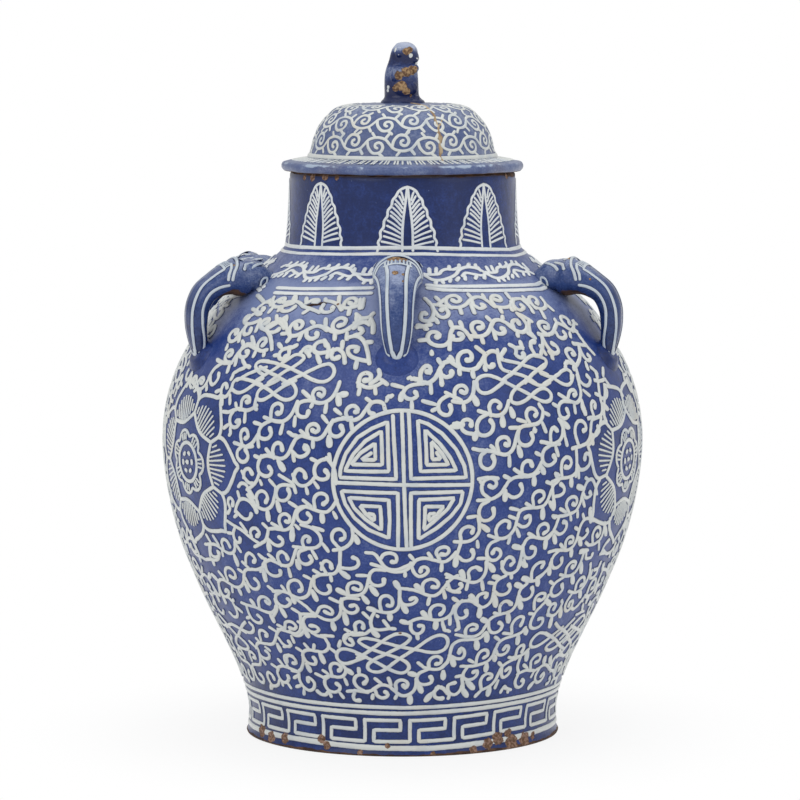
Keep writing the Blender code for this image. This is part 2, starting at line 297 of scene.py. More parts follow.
@dataclass
class Skin:
    """A surface turned round Z from an outline that climbs, read by bearing and run.

    Attributes:
        outline: (radius, height) points in millimetres, from low to high.
    """

    outline: np.ndarray
    run: np.ndarray = field(init=False)
    outward: np.ndarray = field(init=False)

    def __post_init__(self) -> None:
        """Measures the run along the outline and the direction square to it."""
        along = directions(np.gradient(self.outline, axis=0))
        self.outward = np.column_stack((along[:, 1], -along[:, 0]))
        self.run = run_along(self.outline)

    def run_at(self, height: np.ndarray | float) -> np.ndarray:
        """The run along the outline at which a height is reached."""
        return np.interp(height, self.outline[:, 1], self.run)

    def radius_at(self, run: np.ndarray | float) -> np.ndarray:
        """The radius at a run."""
        return np.interp(run, self.run, self.outline[:, 0])

    def reach_at(self, run: float) -> float:
        """The millimetres round the skin in one degree at a run."""
        return math.radians(1.0) * float(self.radius_at(run))

    def place(
        self, bearing: np.ndarray, run: np.ndarray, lift: np.ndarray | float = 0.0
    ) -> tuple[np.ndarray, np.ndarray]:
        """Points on the skin and the directions square to it.

        Each point is the outline's (radius, height) at the run, moved out by the lift and
        turned to the bearing: x is radius times the sine, y minus radius times the cosine.

        Args:
            bearing: degrees from the front.
            run: millimetres along the outline.
            lift: millimetres out from the skin.

        Returns:
            Points in metres, and unit directions.
        """
        turn = np.radians(bearing)
        out_r = np.interp(run, self.run, self.outward[:, 0])
        out_z = np.interp(run, self.run, self.outward[:, 1])
        radius = self.radius_at(run) + lift * out_r
        height = np.interp(run, self.run, self.outline[:, 1]) + lift * out_z
        points = np.stack((radius * np.sin(turn), -radius * np.cos(turn), height), axis=-1) * MM
        square = np.stack((out_r * np.sin(turn), -out_r * np.cos(turn), out_z), axis=-1)
        return points, square


@dataclass
class Trailer:
    """The slip trailer: gathers raised lines and turns them into one mesh.

    Each line is a half-oval section carried along a path. Its edge sinks into the skin, and
    the mark "across" runs from 0 on its middle to 1 at its edge.

    Attributes:
        proud: how far a line stands out, in millimetres.
        hand: the share by which a line's width wavers.
        seed: the start of that wavering.
    """

    proud: float = 1.0
    hand: float = 0.07
    seed: int = 3
    parts: list[tuple[np.ndarray, np.ndarray, np.ndarray]] = field(default_factory=list)
    corners: int = 0

    ACROSS = np.array((-1.3, -1.0, -0.74, -0.38, 0.0, 0.38, 0.74, 1.0, 1.3))
    RISE = np.array((-0.3, 0.22, 0.66, 0.93, 1.0, 0.93, 0.66, 0.22, -0.3))
    TILT = np.radians(np.array((87.0, 68.0, 45.0, 22.0)))
    # A line whose half width is under THIN millimetres lies lower, by its share to a power
    THIN = 0.8
    LOWER = 0.8
    WAVER = 0.4

    def add(self, points: np.ndarray, square: np.ndarray, half: np.ndarray) -> None:
        """Adds one line along points on a skin.

        A point of a section is the path's point, plus the sideways direction times the half
        width times its share across, plus the outward direction times its rise. Past each
        end the half width falls as a quarter circle, which rounds the tip.

        Args:
            points: the line's middle in metres.
            square: the outward directions there.
            half: the half widths in millimetres.
        """
        waver = waves(np.arange(len(half)) * self.WAVER, self.seed)
        half = half * MM * (1.0 + self.hand * waver)
        self.seed += 1
        first, last = points[0] - points[1], points[-1] - points[-2]
        first, last = first / np.linalg.norm(first), last / np.linalg.norm(last)
        head = points[0] + first * half[0] * np.sin(self.TILT)[:, None]
        tail = points[-1] + last * half[-1] * np.sin(self.TILT[::-1])[:, None]
        path = np.vstack((head, points, tail))
        more = len(self.TILT)
        out = np.vstack((np.repeat(square[:1], more, 0), square, np.repeat(square[-1:], more, 0)))
        fall = np.concatenate((np.cos(self.TILT), np.ones(len(points)), np.cos(self.TILT[::-1])))
        width = np.concatenate((np.full(more, half[0]), half, np.full(more, half[-1]))) * fall
        side = directions(np.cross(np.gradient(path, axis=0), out))
        rise = self.proud * MM * np.minimum(1.0, width / (self.THIN * MM)) ** self.LOWER
        rows = (
            path[:, None, :]
            + side[:, None, :] * (width[:, None] * self.ACROSS)[:, :, None]
            + out[:, None, :] * (rise[:, None] * self.RISE)[:, :, None]
        )
        count, sides = rows.shape[:2]
        index = np.arange(count * sides).reshape(count, sides) + self.corners
        ring = np.roll(index, -1, axis=1)
        quads = np.stack((index[:-1], ring[:-1], ring[1:], index[1:]), axis=-1).reshape(-1, 4)
        across = np.maximum(np.abs(self.ACROSS) / self.ACROSS[-1], (1.0 - fall)[:, None] * 0.9)
        self.parts.append((rows.reshape(-1, 3), quads, across.ravel()))
        self.corners += count * sides

    def make(self, name: str, finish: Finish) -> Piece:
        """The gathered lines as one object, each end closed by a strip of faces.

        Args:
            name: the object's name.
            finish: the material.

        Returns:
            The linked object.
        """
        verts = np.vstack([part[0] for part in self.parts])
        quads, tris, start = [], [], 0
        for rows, faces, _ in self.parts:
            quads.append(faces)
            for first, step in ((start, 1), (start + len(rows) - len(self.ACROSS), -1)):
                strip = first + np.array(((0, 8, 7, 1), (1, 7, 6, 2), (2, 6, 5, 3)))
                tip = first + np.array(((3, 5, 4),))
                quads.append(strip[:, ::step])
                tris.append(tip[:, ::step])
            start += len(rows)
        marks = {"across": np.concatenate([part[2] for part in self.parts])}
        return put_mesh(name, verts, np.vstack(quads), finish, np.vstack(tris), marks)


# Finishes


class Bench:
    """Lays out one material's nodes round its Principled shader."""

    def __init__(self, name: str) -> None:
        """Starts a material whose patterns read Object coordinates.

        Args:
            name: the material's name.
        """
        self.finish = bpy.data.materials.new(name)
        self.finish.use_nodes = True
        self.tree = self.finish.node_tree
        self.shader = self.tree.nodes["Principled BSDF"]
        self.place = self.node("ShaderNodeTexCoord").outputs["Object"]

    def node(self, kind: str, **settings: object) -> bpy.types.Node:
        """A new node with its settings.

        Args:
            kind: the node's type.
            **settings: its properties by name.

        Returns:
            The node.
        """
        made = self.tree.nodes.new(kind)
        for name, value in settings.items():
            setattr(made, name, value)
        return made

    def feed(self, socket: Socket, value: object) -> None:
        """Links a socket to another, or sets its value.

        Args:
            socket: the input.
            value: an output, or a plain value.
        """
        if isinstance(value, Socket):
            self.tree.links.new(value, socket)
        else:
            socket.default_value = value

    def math(self, operation: str, *values: object) -> Socket:
        """The result of a Math node.

        Args:
            operation: what it does.
            *values: its inputs in order.

        Returns:
            Its output.
        """
        made = self.node("ShaderNodeMath", operation=operation)
        for socket, value in zip(made.inputs, values):
            self.feed(socket, value)
        return made.outputs[0]

    def times(self, value: object, factor: object) -> Socket:
        """The product of two values."""
        return self.math("MULTIPLY", value, factor)

    def span(self, value: object, low: float, high: float) -> Socket:
        """0 at and below low, 1 at and past high, smooth between them; low may be the larger.

        Args:
            value: what is read.
            low: where 0 ends.
            high: where 1 starts.

        Returns:
            The result.
        """
        made = self.node("ShaderNodeMapRange", interpolation_type="SMOOTHSTEP")
        self.feed(made.inputs["Value"], value)
        made.inputs["From Min"].default_value = low
        made.inputs["From Max"].default_value = high
        return made.outputs[0]

    def mix(self, share: object, first: object, second: object) -> Socket:
        """A mix of two colours.

        Args:
            share: of the second colour.
            first: the colour at 0.
            second: the colour at 1.

        Returns:
            The mixed colour.
        """
        made = self.node("ShaderNodeMix", data_type="RGBA")
        self.feed(made.inputs[0], share)
        self.feed(made.inputs[6], first)
        self.feed(made.inputs[7], second)
        return made.outputs[2]

    def mark(self, name: str) -> Socket:
        """A value kept on the mesh's corners."""
        return self.node("ShaderNodeAttribute", attribute_name=name).outputs["Fac"]

    def height(self) -> Socket:
        """The height in millimetres.

        Returns:
            The node's output.
        """
        split = self.node("ShaderNodeSeparateXYZ")
        self.feed(split.inputs[0], self.place)
        return self.math("DIVIDE", split.outputs["Z"], MM)

    def noise(
        self, scale: float, detail: float = 3.0, stretch: tuple[float, ...] = (1.0, 1.0, 1.0)
    ) -> Socket:
        """Soft noise about 0, with about scale blotches in each metre.

        Args:
            scale: blotches in a metre.
            detail: how many finer layers.
            stretch: how much closer they lie along X, Y and Z.

        Returns:
            The noise.
        """
        mapping = self.node("ShaderNodeMapping")
        self.feed(mapping.inputs["Vector"], self.place)
        mapping.inputs["Scale"].default_value = stretch
        made = self.node("ShaderNodeTexNoise")
        self.feed(made.inputs["Vector"], mapping.outputs[0])
        made.inputs["Scale"].default_value = scale
        made.inputs["Detail"].default_value = detail
        return self.math("SUBTRACT", made.outputs["Fac"], 0.5)

    def cells(self, scale: float) -> Socket:
        """The distance to the nearest of scattered points, about scale of them a metre.

        Args:
            scale: points in a metre.

        Returns:
            The distance.
        """
        made = self.node("ShaderNodeTexVoronoi")
        self.feed(made.inputs["Vector"], self.place)
        made.inputs["Scale"].default_value = scale
        return made.outputs["Distance"]

    def blotches(self, scale: float, detail: float, low: float, high: float) -> Socket:
        """0 where the noise is under low and 1 where it is past high, smooth between."""
        return self.span(self.noise(scale, detail), low, high)

    def specks(self, scale: float, outer: float, inner: float, strength: float) -> Socket:
        """Scattered specks, about scale of them a metre, soft between two sizes."""
        return self.times(self.span(self.cells(scale), outer, inner), strength)

    def ragged(self, mark: str, noise: object, edge: tuple[float, float], full: float) -> Socket:
        """A mark whose edge the noise breaks up, and nothing where there is no mark."""
        broken = self.math("ADD", self.mark(mark), noise)
        return self.times(self.span(broken, *edge), self.span(self.mark(mark), 0.02, full))

    def chip_clay(self, light: Colour) -> Socket:
        """Clay as a chip bares it: brown, mottled with a lighter colour."""
        return self.mix(self.blotches(600.0, 3.0, -0.1, 0.15), CLAY_BROWN, light)

    def levels(self, stops: Line) -> Socket:
        """A value that follows (height in millimetres, value) stops.

        Args:
            stops: the stops, from low to high.

        Returns:
            The value.
        """
        curve = self.node("ShaderNodeFloatCurve")
        low, high = stops[0][0], stops[-1][0]
        line = curve.mapping.curves[0]
        for k, (height, value) in enumerate(stops):
            spot = (height - low) / (high - low), value
            if 0 < k < len(stops) - 1:
                line.points.new(*spot)
            else:
                line.points[-1 if k else 0].location = spot
        curve.mapping.update()
        scaled = self.node("ShaderNodeMapRange")
        self.feed(scaled.inputs["Value"], self.height())
        scaled.inputs["From Min"].default_value = low
        scaled.inputs["From Max"].default_value = high
        self.feed(curve.inputs["Value"], scaled.outputs[0])
        return curve.outputs[0]

    def spots(self, places: Table, wobble: float) -> Socket:
        """1 within rough-edged spots given as x, y, z and radius in millimetres, else 0.

        Args:
            places: the spots.
            wobble: how rough their edges are.

        Returns:
            The mask.
        """
        rough = self.times(self.noise(380.0, 3.0), wobble)
        total = 0.0
        for x, y, z, radius in places:
            apart = self.node("ShaderNodeVectorMath", operation="DISTANCE")
            self.feed(apart.inputs[0], self.place)
            apart.inputs[1].default_value = (x * MM, y * MM, z * MM)
            reach = self.math("DIVIDE", apart.outputs["Value"], radius * MM)
            inside = self.span(self.math("ADD", reach, rough), 1.0, 0.86)
            total = self.math("MAXIMUM", total, inside)
        return total

    def relief(self, height: object, distance: float, strength: float = 1.0) -> None:
        """Adds a bump on top of whatever bump the shader already has.

        Args:
            height: what stands out.
            distance: by how many metres.
            strength: the share of it that shows.
        """
        made = self.node("ShaderNodeBump")
        made.inputs["Strength"].default_value = strength
        made.inputs["Distance"].default_value = distance
        self.feed(made.inputs["Height"], height)
        socket = self.shader.inputs["Normal"]
        if socket.is_linked:
            self.feed(made.inputs["Normal"], socket.links[0].from_socket)
        self.feed(socket, made.outputs[0])

    def gloss(self, coat: float, coat_roughness: float) -> None:
        """The glassy layer, whose numbers are the same all over.

        Args:
            coat: weight of the clear layer.
            coat_roughness: its roughness.
        """
        self.shader.inputs["Specular IOR Level"].default_value = 0.36
        self.shader.inputs["Coat Weight"].default_value = coat
        self.shader.inputs["Coat Roughness"].default_value = coat_roughness


def srgb(red: int, green: int, blue: int) -> tuple[float, float, float, float]:
    """A colour given as it shows on a screen, made linear.

    Args:
        red: 0 to 255.
        green: 0 to 255.
        blue: 0 to 255.

    Returns:
        The linear colour, fully opaque.
    """
    shares = np.array((red, green, blue)) / 255.0
    linear = np.where(shares <= 0.04045, shares / 12.92, ((shares + 0.055) / 1.055) ** 2.4)
    return (*linear.tolist(), 1.0)


CLAY_BROWN = srgb(104, 76, 56)
CLAY_TAN = srgb(178, 146, 106)
CLAY_DARK = srgb(62, 42, 34)
CLAY_ROSE = srgb(158, 126, 108)
SLIP_CREAM = srgb(222, 225, 221)
SLIP_THIN = srgb(168, 184, 204)
SLIP_WARM = srgb(214, 200, 172)
INSIDE_GLAZE = srgb(112, 100, 88)


@dataclass(frozen=True)
class BlueGlaze:
    """Mottled cobalt glaze over stoneware.

    Attributes:
        name: the material's name.
        deep: the colour where the glaze lies thick, and of the painted shade that the levels give.
        plain: the colour of most of it.
        pale: the colour where it lies thin, and of the painted light that the levels give.
        levels: heights in millimetres, each with how pale the glaze is painted there, 0 to 1:
            partly how thin the glaze lies, and on the jar, its pad and its handles partly
            painted light and shade.
        roughness: of the glass.
        chips: places where it is chipped to the tan clay.
        dabs: places painted cream: dabs of slip, and on the beast a painted highlight on its nose.
        grime: how much brown dust has settled on it, 0 to 1.
        clay: the lighter colour of the clay in the chips.
    """

    name: str
    deep: Colour
    plain: Colour
    pale: Colour
    levels: Line
    roughness: float = 0.33
    chips: Table = ()
    dabs: Table = ()
    grime: float = 0.0
    clay: Colour = CLAY_TAN

    def make(self) -> Finish:
        """Mixes the blues by height, blotches, runs and grain, then adds clay and gloss.

        Returns:
            The material.
        """
        bench = Bench(self.name)
        # Paleness by height: partly thin glaze, partly painted light and shade where the levels set
        # it so.
        thinness_and_light = bench.levels(self.levels)
        for scale, share, stretch in (
            (9.0, 0.50, (1.0, 1.0, 0.7)),
            (42.0, 0.52, (1.0, 1.0, 0.55)),
            (190.0, 0.46, (1.0, 1.0, 1.0)),
            (760.0, 0.40, (1.0, 1.0, 1.0)),
        ):
            blotch = bench.noise(scale, 3.0, stretch)
            thinness_and_light = bench.math("ADD", thinness_and_light, bench.times(blotch, share))
        blue = bench.mix(bench.span(thinness_and_light, 0.05, 0.5), self.deep, self.plain)
        blue = bench.mix(bench.span(thinness_and_light, 0.42, 1.0), blue, self.pale)
        blue = bench.mix(bench.specks(300.0, 0.13, 0.06, 0.4), blue, self.deep)
        blue = bench.mix(bench.specks(165.0, 0.07, 0.03, 0.45), blue, self.pale)
        if self.grime > 0.0:
            dust = bench.blotches(26.0, 6.0, 0.02, 0.22)
            blue = bench.mix(bench.times(dust, self.grime), blue, CLAY_BROWN)
        colour = bench.mix(bench.mark("inner"), blue, INSIDE_GLAZE)
        clay = bench.mix(bench.blotches(120.0, 5.0, -0.12, 0.16), CLAY_DARK, CLAY_BROWN)
        bare = bench.ragged("bare", bench.noise(140.0, 4.0), (0.42, 0.58), 0.2)
        colour = bench.mix(bare, colour, clay)
        wear_and_highlight_noise = bench.times(bench.noise(210.0, 5.0), 1.5)
        # The worn mark, only on the lid's flange edge, is paled to bluish slip: partly wear, partly
        # a painted highlight.
        colour = bench.mix(bench.ragged("worn", wear_and_highlight_noise, (0.5, 0.75), 0.3), colour, SLIP_THIN)
        # Cream where slip was dabbed on; on the beast one of these spots is a painted highlight on
        # its nose.
        colour = bench.mix(bench.spots(self.dabs, 0.7), colour, SLIP_CREAM)
        chipped = bench.spots(self.chips, 0.9)
        colour = bench.mix(chipped, colour, bench.chip_clay(self.clay))
        bench.feed(bench.shader.inputs["Base Color"], colour)
        dull = bench.math("MAXIMUM", bare, chipped)
        rough = bench.math("MULTIPLY_ADD", dull, 0.55, self.roughness)
        grain = bench.times(bench.noise(55.0, 4.0), 0.10)
        bench.feed(bench.shader.inputs["Roughness"], bench.math("ADD", rough, grain))
        bench.relief(bench.noise(130.0, 2.0), 0.0008, 0.22)
        bench.relief(bench.noise(900.0, 3.0), 0.0003, 0.25)
        bench.relief(bench.times(chipped, -1.0), 0.0005, 0.8)
        bench.gloss(0.08, 0.2)
        return bench.finish


@dataclass(frozen=True)
class TrailedSlip:
    """Cream slip under clear glaze, thin and bluish at its edges.

    Attributes:
        name: the material's name.
        edge: the blue that runs up to a line's edge.
        cream: the colour of a line's middle.
        thin: how much of the slip is thin and bluish, 0 to 1.
        chips: places where it is chipped to the tan clay.
    """

    name: str
    edge: Colour
    cream: Colour = SLIP_CREAM
    thin: float = 0.3
    chips: Table = ()

    def make(self) -> Finish:
        """Mixes cream into blue across each line, with thin places, pits and chips.

        Returns:
            The material.
        """
        bench = Bench(self.name)
        soft = bench.times(bench.blotches(70.0, 4.0, -0.02, 0.2), self.thin)
        cream = bench.mix(soft, self.cream, SLIP_THIN)
        warm = bench.times(bench.blotches(33.0, 3.0, 0.05, 0.25), 0.25)
        cream = bench.mix(warm, cream, SLIP_WARM)
        pits = bench.specks(130.0, 0.055, 0.03, 0.75)
        cream = bench.mix(pits, cream, CLAY_BROWN)
        frayed = bench.times(bench.noise(420.0, 2.0), 0.16)
        across = bench.math("ADD", bench.mark("across"), frayed)
        blue = bench.times(bench.span(across, 0.50, 0.72), 0.5)
        colour = bench.mix(blue, cream, SLIP_THIN)
        colour = bench.mix(bench.span(across, 0.66, 0.78), colour, self.edge)
        chipped = bench.spots(self.chips, 0.9)
        colour = bench.mix(chipped, colour, bench.chip_clay(CLAY_ROSE))
        bench.feed(bench.shader.inputs["Base Color"], colour)
        rough = bench.math("MULTIPLY_ADD", bench.noise(60.0, 3.0), 0.12, 0.30)
        rough = bench.math("MULTIPLY_ADD", chipped, 0.5, rough)
        bench.feed(bench.shader.inputs["Roughness"], rough)
        bench.relief(bench.noise(260.0, 3.0), 0.0006, 0.30)
        bench.relief(bench.times(pits, -1.0), 0.0003, 0.5)
        bench.gloss(0.15, 0.12)
        return bench.finish


@dataclass(frozen=True)
class DullClay:
    """Bare fired clay or a matt mend, grainy and unglazed.

    Attributes:
        name: the material's name.
        dark: the darker of its two colours.
        light: the lighter of its two colours.
    """

    name: str
    dark: Colour = CLAY_DARK
    light: Colour = CLAY_BROWN

    def make(self) -> Finish:
        """Mixes two clay colours by noise, with a grainy bump.

        Returns:
            The material.
        """
        bench = Bench(self.name)
        colour = bench.mix(bench.blotches(90.0, 6.0, -0.15, 0.18), self.dark, self.light)
        colour = bench.mix(bench.specks(700.0, 0.25, 0.05, 0.3), colour, CLAY_TAN)
        bench.feed(bench.shader.inputs["Base Color"], colour)
        bench.shader.inputs["Roughness"].default_value = 0.82
        bench.relief(bench.noise(500.0, 5.0), 0.0005, 0.6)
        return bench.finish


# Pieces of the jar


def carry(piece: Piece, body: Body, slot: Slot, *nodes: str) -> None:
    """Lets a piece ride on a body and hides the solids that it stands for.

    Args:
        piece: the piece.
        body: what it rides on.
        slot: its material slot; not used.
        *nodes: the solids that it stands for.
    """
    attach(piece, body.value)
    if nodes:
        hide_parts(*nodes)
    log.info("%s rides on %s with %d faces", piece.name, body.value, len(piece.data.polygons))


def turned_grid(outline: np.ndarray, sides: int) -> np.ndarray:
    """An outline of (radius, height) in millimetres turned round Z, as points in metres.

    Point (k, j) is radius k times the sine and minus the cosine of angle j, at height k.

    Args:
        outline: the points, one row each.
        sides: how many go round.

    Returns:
        The points as (rows, columns, 3).
    """
    turn = full_turn(sides)
    radius, height = outline[:, :1] * MM, outline[:, 1:] * MM
    x, y = radius * np.sin(turn), -radius * np.cos(turn)
    return np.stack((x, y, np.broadcast_to(height, x.shape)), axis=-1)


@dataclass
class Wall:
    """The jar's wall: foot, belly, shoulder and neck, glazed outside.

    Attributes:
        outer: (radius, height) of the solid wall's outer face.
        inner: (radius, height) of its inner face, from the rim down.
        foot: (radius, height) of the foot ring's hollow and the ring's own edge.
        sunk: (height, depth) by which the glaze lies inside the solid, room for the slip.
        bare_foot: up to which height the foot is bare.
        bare_rim: from which height the rim is bare.
        worn_rim: where the rim is bare further down, as bearing, width and share.
    """

    outer: Line = (
        (106.6, 1.4), (105.64, 9.95), (105.5, 19), (108.56, 32.87), (113.88, 48.12),
        (123.34, 68.62), (133.82, 89.98), (143.13, 111), (151.16, 131.84), (156.41, 150.23),
        (160.12, 168.24), (162.43, 184.99), (163.3, 201), (162.69, 213.65), (160.82, 225.8),
        (157.54, 238.33), (152.96, 250.59), (146.87, 262.63), (139.9, 274.08), (133.21, 284.24),
        (125.67, 293.66), (115.7, 302.57), (105.41, 310.62), (97.62, 316.7), (90.52, 322.36),
        (84.82, 327.02), (80.6, 331.5), (79.62, 334.13), (79.2, 337.1), (78.41, 344.21),
        (77.8, 352.88), (77.07, 366.22), (76.4, 380.52),
    )
    inner: Line = (
        (75.2, 382.3), (70.3, 382.3), (68.9, 380.52), (69.58, 365.84), (70.94, 343.54),
        (72.35, 332.31), (79.74, 321.5), (92.98, 310.82), (110.89, 296.82), (127.14, 279.83),
        (140.32, 258.98), (150.39, 236.07), (155.22, 212.9), (154.96, 185.71),
        (149.12, 152.03), (136.2, 113.87), (116.57, 71.84), (101.35, 34.94), (96.4, 20.0),
        (88.0, 14.3), (60.0, 14.0), (0.0, 14.0),
    )
    foot: Line = (
        (0.0, 4.0), (60.0, 4.0), (88.6, 4.0), (92.6, 0.0), (98.9, 0.0), (104.9, 0.0),
        (106.2, 0.5), (106.6, 1.4),
    )
    sunk: Line = ((2.0, 0.4), (5.0, 1.1), (300.0, 1.1), (325.0, 0.6), (378.0, 0.3))
    bare_foot: float = 2.1
    bare_rim: float = 381.6
    worn_rim: Table = ((227.0, 13.0, 1.0), (90.0, 18.0, 0.8))
    sides: int = 300
    solid: Skin = field(init=False)
    skin: Skin = field(init=False)

    def __post_init__(self) -> None:
        """Sets the glazed face inside the solid one, less on the neck and at the foot."""
        self.solid = Skin(smooth_curve(np.array(self.outer), 5))
        sunk = np.interp(self.solid.outline[:, 1], *np.array(self.sunk).T)
        self.skin = Skin(self.solid.outline - sunk[:, None] * self.solid.outward)

    def make(self, glaze: Finish) -> None:
        """Turns the whole section: foot ring, outer wall, rim, inner wall and floor.

        Args:
            glaze: the finish.
        """
        inner = smooth_curve(np.array(self.inner), 3)
        outline = np.vstack((self.foot, self.skin.outline[1:], inner))
        grid = turned_grid(outline, self.sides)
        turn = full_turn(self.sides)
        height = outline[:, 1:2]
        outside = (np.arange(len(outline)) < len(self.foot) + len(self.skin.outline) - 1)[:, None]
        ragged = self.bare_foot + waves(turn * 2, 5, 5)
        bare = np.where(outside, np.clip((ragged - height) / 2.4 + 0.5, 0, 1), 0.0)
        worn = sum(
            share * bell(np.degrees(turn), middle, width) for middle, width, share in self.worn_rim
        )
        low = self.bare_rim + waves(turn * 3, 8, 5) - 3.2 * worn
        rim = np.clip((height - low) / 2.0 + 0.5, 0, 1)
        inside = np.where(outside, 0.0, 1.0) * np.ones_like(bare)
        marks = {"bare": np.maximum(bare, rim * 0.9), "inner": inside}
        jar = put_lattice("jar_wall", grid, glaze, marks, sharp=50.0)
        carry(jar, Body.JAR, Slot.BODY, "jar_body")


@dataclass(frozen=True)
class HandleShape:
    """The elephant-head handle's sizes, as the solids have them, in millimetres.

    Attributes:
        top_drop: how far the head's middle lies below the neck's foot.
        chord: from the head's middle down to the trunk's tip.
        bow: how far the trunk stands out from that chord.
        width: of the head.
        depth: of the head.
        neck_foot: the height of the neck's foot.
        sections: share of the chord, share of the bow, then of the head's width and depth.
    """

    top_drop: float = 16.5
    chord: float = 52.0
    bow: float = 24.1
    width: float = 34.0
    depth: float = 25.8
    neck_foot: float = 331.5
    sections: Table = (
        (0.055, -0.27, 0.80, 0.735), (0.124, 0.34, 0.90, 0.88), (0.195, 0.53, 1.0, 1.0),
        (0.270, 0.72, 0.98, 0.88), (0.399, 0.905, 0.85, 0.69), (0.535, 1.0, 0.75, 0.62),
        (0.680, 0.885, 0.68, 0.59), (0.795, 0.64, 0.63, 0.55), (0.868, 0.42, 0.565, 0.51),
        (0.946, 0.13, 0.46, 0.44), (1.003, -0.12, 0.36, 0.35),
    )


@dataclass
class Handle:
    """One handle: an elephant's head whose trunk comes back down to a pad on the wall.

    Attributes:
        place: the name of its place round the jar.
        bearing: degrees from the front.
        lift: how far it sits above the side handles, in millimetres.
        wall: the jar's wall.
    """

    place: str
    bearing: float
    lift: float
    wall: Wall
    shape: HandleShape = HandleShape()
    middle: np.ndarray = field(init=False)

    ROWS = 110
    SIDES = 72
    # How far the clay lies inside the solid, and the power that squares its section off
    SUNK = 0.4
    SQUARED = 0.92
    # Height in millimetres of each swelling, its middle and width as shares of the length,
    # and its middle and width round the handle in degrees: the crown, the dip behind it, the
    # brow over the trunk, the temples, the ears and the ridge down the trunk
    SWELLS = (
        (1.3, 0.125, 0.035, 0, 40), (-1.0, 0.185, 0.022, 0, 55), (1.1, 0.25, 0.022, 0, 50),
        (-0.9, 0.21, 0.03, 88, 16), (1.6, 0.14, 0.045, 106, 16), (0.35, 0.6, 0.3, 0, 20),
    )
    # The pad: rings and sides, half sizes across and up, and how far its middle lies below
    # the trunk's tip
    PAD_RINGS = 34
    PAD_SIDES = 64
    PAD_HALVES = (17.0, 15.2)
    PAD_DROP = 0.8
    # Rise of each ledge of the pad, its share of the way out and how soft it is
    LEDGES = ((2.6, 0.80, 0.05), (2.8, 0.56, 0.07))

    def __post_init__(self) -> None:
        """Carries the sections along a chord from the shoulder to the trunk's tip."""
        shape = self.shape
        solid = self.wall.solid
        ends = [
            np.array((float(solid.radius_at(solid.run_at(z))), z))
            for z in (self.top, self.top - shape.chord)
        ]
        along = ends[1] - ends[0]
        length = np.linalg.norm(along)
        along = along / length
        outward = np.array((-along[1], along[0]))
        rows = np.array(shape.sections)
        path = ends[0] + rows[:, :1] * length * along + rows[:, 1:2] * shape.bow * outward
        halves = rows[:, 2:4] * np.array((shape.width, shape.depth)) / 2
        table = smooth_curve(np.column_stack((path, halves)), 10)
        length = float(np.linalg.norm(np.diff(table[:, :2], axis=0), axis=1).sum())
        self.middle = resampled(table, length / self.ROWS)

    @property
    def top(self) -> float:
        """The height of the head's middle at the wall, in millimetres."""
        return self.shape.neck_foot - self.shape.top_drop + self.lift

    def read(self, share: np.ndarray) -> tuple[np.ndarray, ...]:
        """Radius, height, half width, half depth and run direction at shares of the length.

        Args:
            share: share of the handle's length, 0 at the head.

        Returns:
            The six values, two of them the direction.
        """
        marks = np.linspace(0.0, 1.0, len(self.middle))
        table = [np.interp(share, marks, self.middle[:, k]) for k in range(4)]
        slope = directions(np.gradient(self.middle[:, :2], axis=0))
        table += [np.interp(share, marks, slope[:, k]) for k in range(2)]
        return tuple(table)

    def swell(self, share: np.ndarray, angle: np.ndarray) -> np.ndarray:
        """How far the clay stands out of the plain section, in millimetres.

        It is a sum of bells in share and angle, the same on both sides.

        Args:
            share: share of the handle's length, 0 at the head.
            angle: radians round the section, 0 outwards.

        Returns:
            The millimetres at each point.
        """
        side = np.abs(np.degrees(angle))
        return sum(
            high * bell(share, along, length) * bell(side, aside, width)
            for high, along, length, aside, width in self.SWELLS
        )

    def place_at(
        self, share: np.ndarray, angle: np.ndarray, lift: np.ndarray | float = 0.0
    ) -> np.ndarray:
        """Points on the handle.

        Each is the middle line's point, plus the outward normal times the half depth times
        the cosine of the angle, plus the sideways direction times the half width times its
        sine, both a little squared off, with the swell and the lift added to both halves.

        Args:
            share: share of the handle's length, from the head to the tip.
            angle: radians round the section, 0 outwards and positive towards +X in front.
            lift: millimetres out from the clay.

        Returns:
            Points in metres, turned to the handle's bearing.
        """
        radius, height, wide, deep, run_r, run_z = self.read(share)
        more = self.swell(share, angle) + lift
        circle = np.cos(angle), np.sin(angle)
        round_cos, round_sin = (np.sign(c) * np.abs(c) ** self.SQUARED for c in circle)
        out = (deep - self.SUNK + more) * round_cos
        side = (wide - self.SUNK + more) * round_sin
        flat_r = radius - run_z * out
        flat_z = height + run_r * out
        turn = math.radians(self.bearing)
        x = flat_r * math.sin(turn) + side * math.cos(turn)
        y = -flat_r * math.cos(turn) + side * math.sin(turn)
        return np.stack((x, y, flat_z), axis=-1) * MM

    def outward(self, share: np.ndarray, angle: np.ndarray) -> np.ndarray:
        """Directions square to the clay, from small steps along both parameters.

        Args:
            share: share of the handle's length, 0 at the head.
            angle: radians round the section, 0 outwards.

        Returns:
            Unit directions.
        """
        step = 1e-3
        along = self.place_at(share + step, angle) - self.place_at(share - step, angle)
        around = self.place_at(share, angle + step) - self.place_at(share, angle - step)
        square = directions(np.cross(around, along))
        middle = self.place_at(share, angle, -3.0)
        inward = np.sum((self.place_at(share, angle) - middle) * square, axis=-1) < 0
        return np.where(inward[..., None], -square, square)

    def hug(self, points: np.ndarray, depth: float) -> np.ndarray:
        """Moves points that lie deep in the wall out to a depth under its face.

        Args:
            points: in metres.
            depth: in millimetres.

        Returns:
            The moved points.
        """
        radius = np.hypot(points[..., 0], points[..., 1])
        height = points[..., 2] / MM
        skin = self.wall.skin
        run = skin.run_at(height)
        face = skin.radius_at(run)
        out_r = np.interp(run, skin.run, skin.outward[:, 0])
        allowed = face - depth / np.maximum(out_r, 0.25)
        grow = np.maximum(1.0, allowed * MM / radius)
        return points * np.stack((grow, grow, np.ones_like(grow)), axis=-1)

